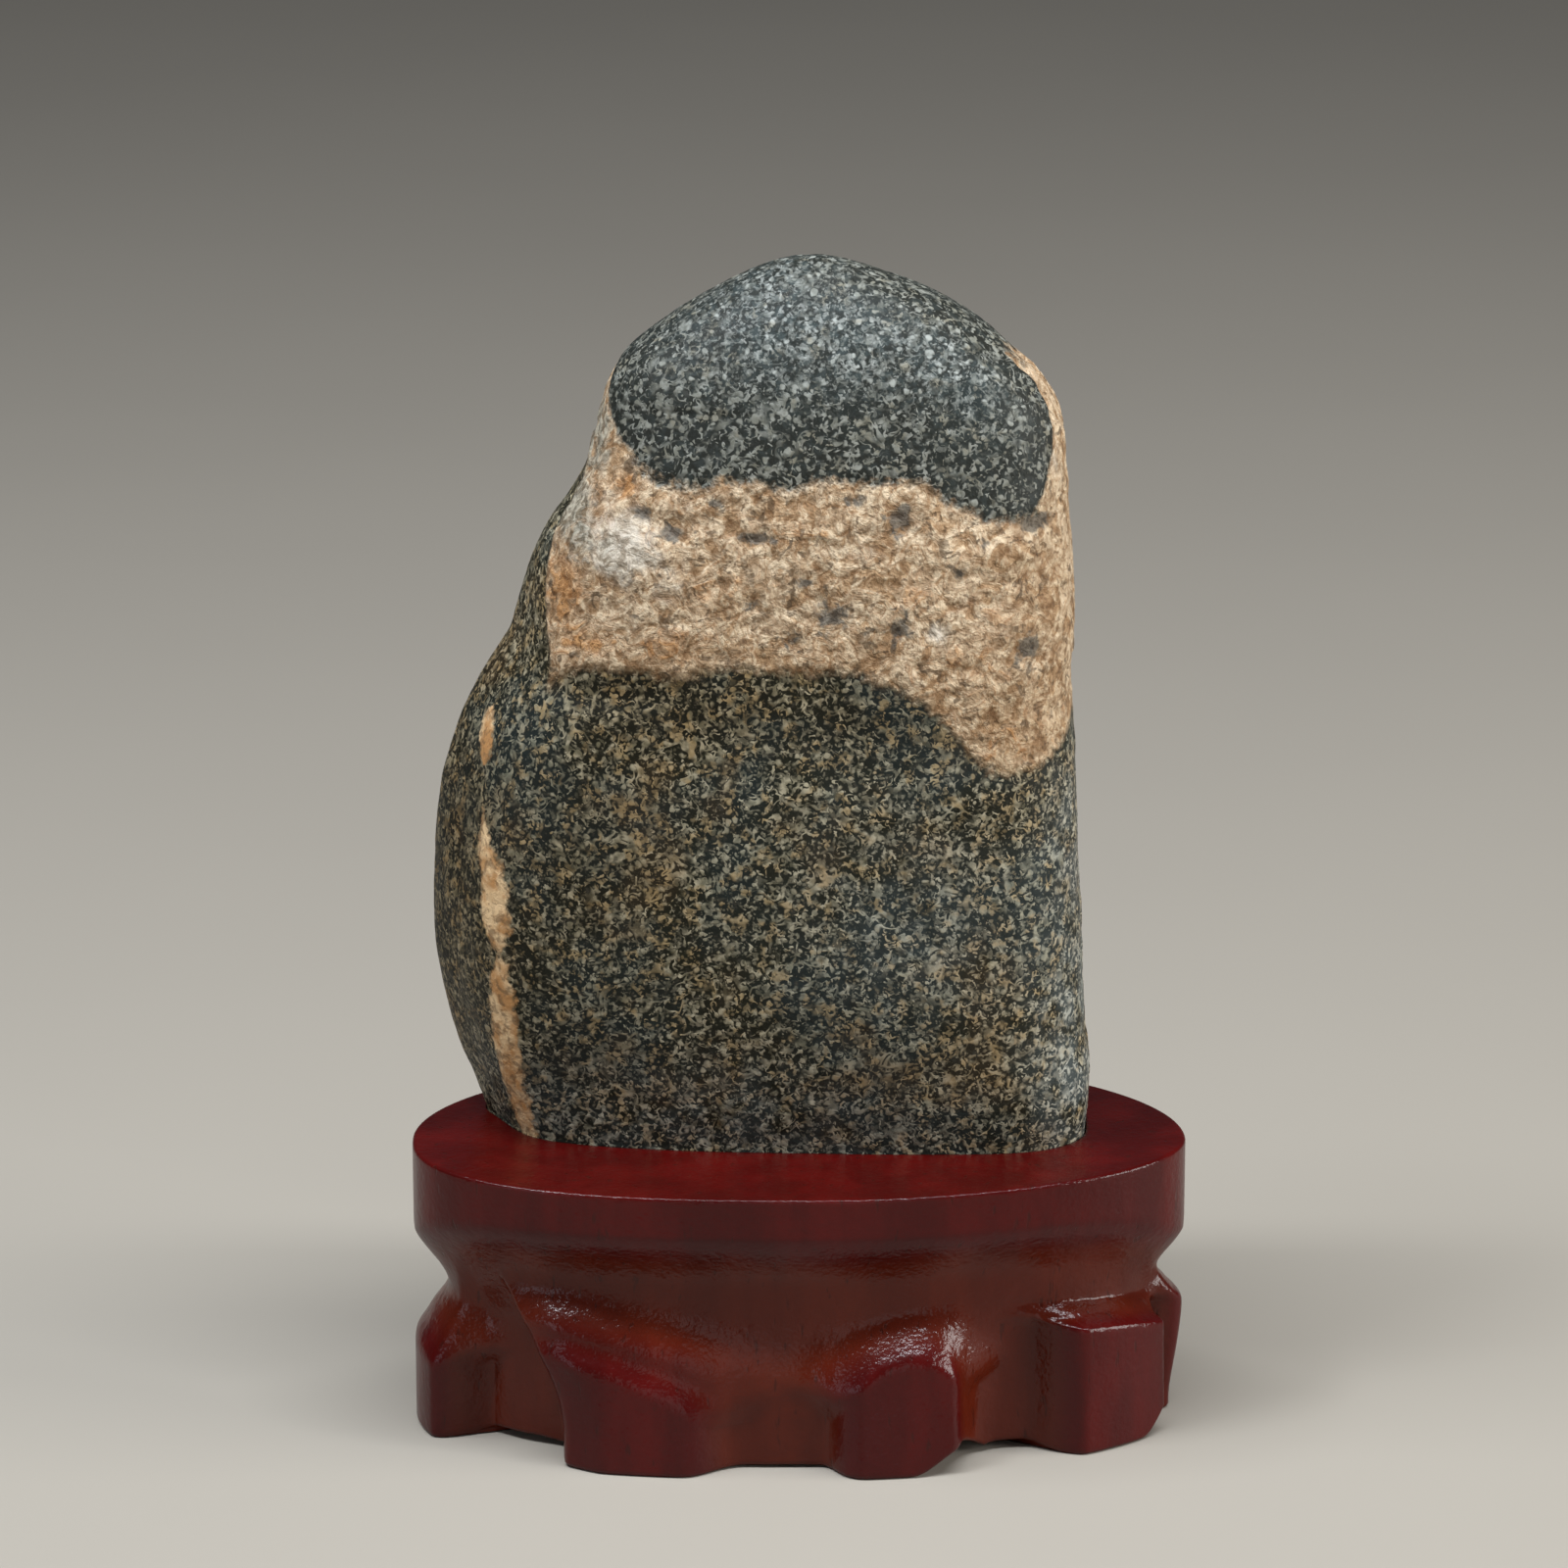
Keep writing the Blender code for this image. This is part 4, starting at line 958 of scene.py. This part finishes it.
def stone_material():
    """Speckled dark stone with a tan layer across it, and a vein."""
    s = Shader("stone")
    jag = s.add(s.swing(s.noise(620.0, 2.0, 0.6), 3.6), s.swing(s.noise(170.0, 2.0, 0.5, shift=1.7), 3.5))
    above_head = s.add(s.field("above_head"), jag)
    head = s.step(above_head, -1.1, 1.1)
    over = s.step(s.add(s.field("above_band"), jag), -1.3, 1.3)
    vein = s.step(s.add(s.field("vein"), jag), -0.4, 0.9)
    clouds = {
        "cool": s.step(s.noise(36.0, 3.0, 0.6, shift=4.0), 0.42, 0.62),
        "warm": s.step(s.noise(62.0, 3.0, 0.6, shift=7.0), 0.50, 0.66),
        "coarse": s.noise(190.0, 3.0, 0.6, shift=12.0),
        "tone": s.noise(640.0, 2.0, shift=6.0),
        "hue": s.noise(300.0, 2.0, shift=13.0),
        "ground": s.noise(600.0, 3.0, 0.6, shift=18.0),
        "crumbs": s.noise(560.0, 3.0, 0.55, 0.6, shift=8.0),
        "flecks": s.noise(400.0, 2.0, 0.6, 0.8, shift=15.0),
        "blotch": s.noise(240.0, 4.0, 0.6, 1.0, shift=19.0),
    }
    grain, crumb, woven = grains(s)
    pale = s.most(s.times(grain, 0.9), woven, s.times(crumb, 0.42))
    sprinkle = s.step(s.noise(1150.0, 1.2, 0.5, 0.6, shift=36.0), 0.55, 0.63)
    dotted = s.most(s.times(crumb, 0.8), s.times(grain, 0.9), s.times(sprinkle, 0.85))
    curled = s.most(s.times(woven, 0.75), s.times(grain, 0.8))
    low_head = s.step(above_head, 32.0, 8.0)

    colour = s.mix(over, body_colour(s, clouds, pale), layer_colour(s, clouds))
    colour = s.mix(head, colour, head_colour(s, clouds, low_head, dotted, curled))
    # Painted shade, partly the stone's browner colour: darker and browner under the tan layer, down the left
    # side and at the tongue on the right
    colour = s.tint(s.field("painted_shade_and_brown"), colour, (0.64, 0.57, 0.48))
    vein_tint = s.mix(s.step(clouds["coarse"], 0.40, 0.62), (0.440, 0.225, 0.085), (0.680, 0.480, 0.270))
    worn = s.times(s.step(clouds["crumbs"], 0.52, 0.38), 0.65)
    vein_tint = s.mix(worn, vein_tint, (0.150, 0.090, 0.045))
    s.put(s.surface.inputs["Base Color"], s.mix(s.times(vein, 0.9), colour, vein_tint))

    s.put(s.surface.inputs["Roughness"], s.blend(grain, 0.52, 0.66))
    s.surface.inputs["Specular IOR Level"].default_value = 0.14
    band = s.times(over, s.less(1.0, head))
    rugged = s.times(s.add(clouds["blotch"], s.times(clouds["crumbs"], 0.5)), band)
    fine = s.bump(s.add(s.noise(900.0, 3.0, 0.6, shift=20.0), s.times(pale, 0.4)), 0.6, 0.0003)
    s.put(s.surface.inputs["Normal"], s.bump(rugged, 0.7, 0.0012, fine))
    return s.material


def lacquer_material():
    """Red lacquer with a painted brown reflection where the wood is carved deep, under a clear coat with an
    uneven surface.
    """
    s = Shader("lacquer")
    streaks = s.step(s.noise(90.0, 3.0, 0.6, stretch=(1.0, 1.0, 0.25)), 0.35, 0.70)
    clouds = s.noise(28.0, 2.0, 0.5, shift=3.0)
    red = s.mix(streaks, (0.042, 0.0012, 0.0009), (0.066, 0.0021, 0.0016))
    # Painted reflection: where the wood is carved deep the lacquer is painted brown, standing in for a brown
    # table mirrored in it
    painted_brown_reflection = s.mix(streaks, (0.062, 0.0064, 0.0016), (0.084, 0.0098, 0.0028))
    reflection_share = s.step(s.add(s.field("depth"), s.swing(clouds, 5.0)), 0.8, 5.0)
    pores = s.step(s.noise(620.0, 2.0, 0.55, stretch=(1.0, 1.0, 0.22), shift=5.0), 0.64, 0.72)
    colour = s.mix(s.times(pores, 0.5), s.mix(reflection_share, red, painted_brown_reflection), (0.022, 0.004, 0.002))
    s.put(s.surface.inputs["Base Color"], colour)
    s.put(s.surface.inputs["Roughness"], s.blend(clouds, 0.30, 0.42))
    s.surface.inputs["Coat Weight"].default_value = 0.40
    s.surface.inputs["Coat Roughness"].default_value = 0.16
    s.surface.inputs["Specular IOR Level"].default_value = 0.05
    peel = s.noise(520.0, 2.0, 0.55, shift=9.0)
    speckle = s.noise(1250.0, 2.0, 0.5, shift=17.0)
    normal = s.bump(s.less(1.0, pores), 0.4, 0.0002, s.bump(peel, 0.5, 0.00025))
    s.put(s.surface.inputs["Normal"], normal)
    s.put(s.surface.inputs["Coat Normal"], s.bump(s.add(peel, speckle), 0.7, 0.00022))
    return s.material


# Floor and lights, in metres and watts. A light: name, place, width, power, colour, height unless square
FLOOR_HALF = 6.0
FLOOR_COLOUR_LOW = (0.315, 0.287, 0.243)
FLOOR_COLOUR_HIGH = (0.335, 0.305, 0.258)
SKY_COLOUR = (0.80, 0.85, 0.92)
SKY_STRENGTH = 0.075
LIGHT_TARGET = (0.0, 0.0, 0.11)
LIGHTS = [
    ("overhead", (0.0, -0.28, 1.15), 1.3, 19.5, (0.90, 0.94, 1.0), 0.10),
    ("upper_left", (-0.55, -0.20, 1.0), 0.55, 6.5, (0.88, 0.93, 1.0), 0.14),
    ("right", (1.25, -0.30, 0.45), 0.6, 15.5, (1.0, 0.985, 0.96), None),
    ("left", (-1.0, -1.0, 0.35), 0.5, 1.6, (0.84, 0.90, 1.0), None),
    ("front", (0.25, -1.70, 0.42), 0.9, 2.5, (1.0, 0.985, 0.965), None),
]


def area_light(name, place, size, power, colour, height=None):
    """A soft light aimed at the middle of the object, square unless it has a height of its own."""
    light = bpy.data.lights.new(name, "AREA")
    light.shape = "RECTANGLE"
    light.size = size
    light.size_y = height or size
    light.energy = power
    light.color = colour
    obj = bpy.data.objects.new(name, light)
    obj.location = place
    obj.rotation_euler = (Vector(LIGHT_TARGET) - Vector(place)).to_track_quat("-Z", "Y").to_euler()
    bpy.context.scene.collection.objects.link(obj)


def make_stage():
    """The floor, the lights and a faint even light from all round."""
    mesh = bpy.data.meshes.new("floor")
    corners = [(-1, -1, 0), (1, -1, 0), (1, 1, 0), (-1, 1, 0)]
    mesh.from_pydata([(x * FLOOR_HALF, y * FLOOR_HALF, z) for x, y, z in corners], [], [(0, 1, 2, 3)])
    floor = bpy.data.objects.new("floor", mesh)
    bpy.context.scene.collection.objects.link(floor)
    s = Shader("floor")
    s.put(s.surface.inputs["Base Color"], s.mix(s.noise(6.0, 3.0), FLOOR_COLOUR_LOW, FLOOR_COLOUR_HIGH))
    s.surface.inputs["Roughness"].default_value = 0.7
    mesh.materials.append(s.material)
    for light in LIGHTS:
        area_light(*light)
    world = bpy.data.worlds.new("studio")
    world.use_nodes = True
    background = world.node_tree.nodes["Background"]
    background.inputs["Color"].default_value = (*SKY_COLOUR, 1.0)
    background.inputs["Strength"].default_value = SKY_STRENGTH
    bpy.context.scene.world = world


# Camera, in metres, degrees and millimetres
CAMERA_TARGET = (-0.00274, 0.00044, 0.11803)
CAMERA_DISTANCE = 1.3
CAMERA_HEIGHT_DEGREES = 17.0
CAMERA_LENS = 166.48


def make_camera():
    """The camera in front of the object, looking a little down on it."""
    data = bpy.data.cameras.new("camera")
    data.sensor_width = 36.0
    data.lens = CAMERA_LENS
    data.clip_start = 0.05
    data.clip_end = 50.0
    camera = bpy.data.objects.new("camera", data)
    rise = math.radians(CAMERA_HEIGHT_DEGREES)
    target = Vector(CAMERA_TARGET)
    camera.location = target + Vector((0.0, -math.cos(rise), math.sin(rise))) * CAMERA_DISTANCE
    camera.rotation_euler = (target - camera.location).to_track_quat("-Z", "Y").to_euler()
    bpy.context.scene.collection.objects.link(camera)
    bpy.context.scene.camera = camera


stone = make_stone()
stone.data.materials.append(stone_material())
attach(stone, "root")
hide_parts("stone")

stand = make_stand()
stand.data.materials.append(lacquer_material())
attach(stand, "root")
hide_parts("stand")

make_stage()
make_camera()
bpy.context.scene.view_settings.view_transform = "Standard"
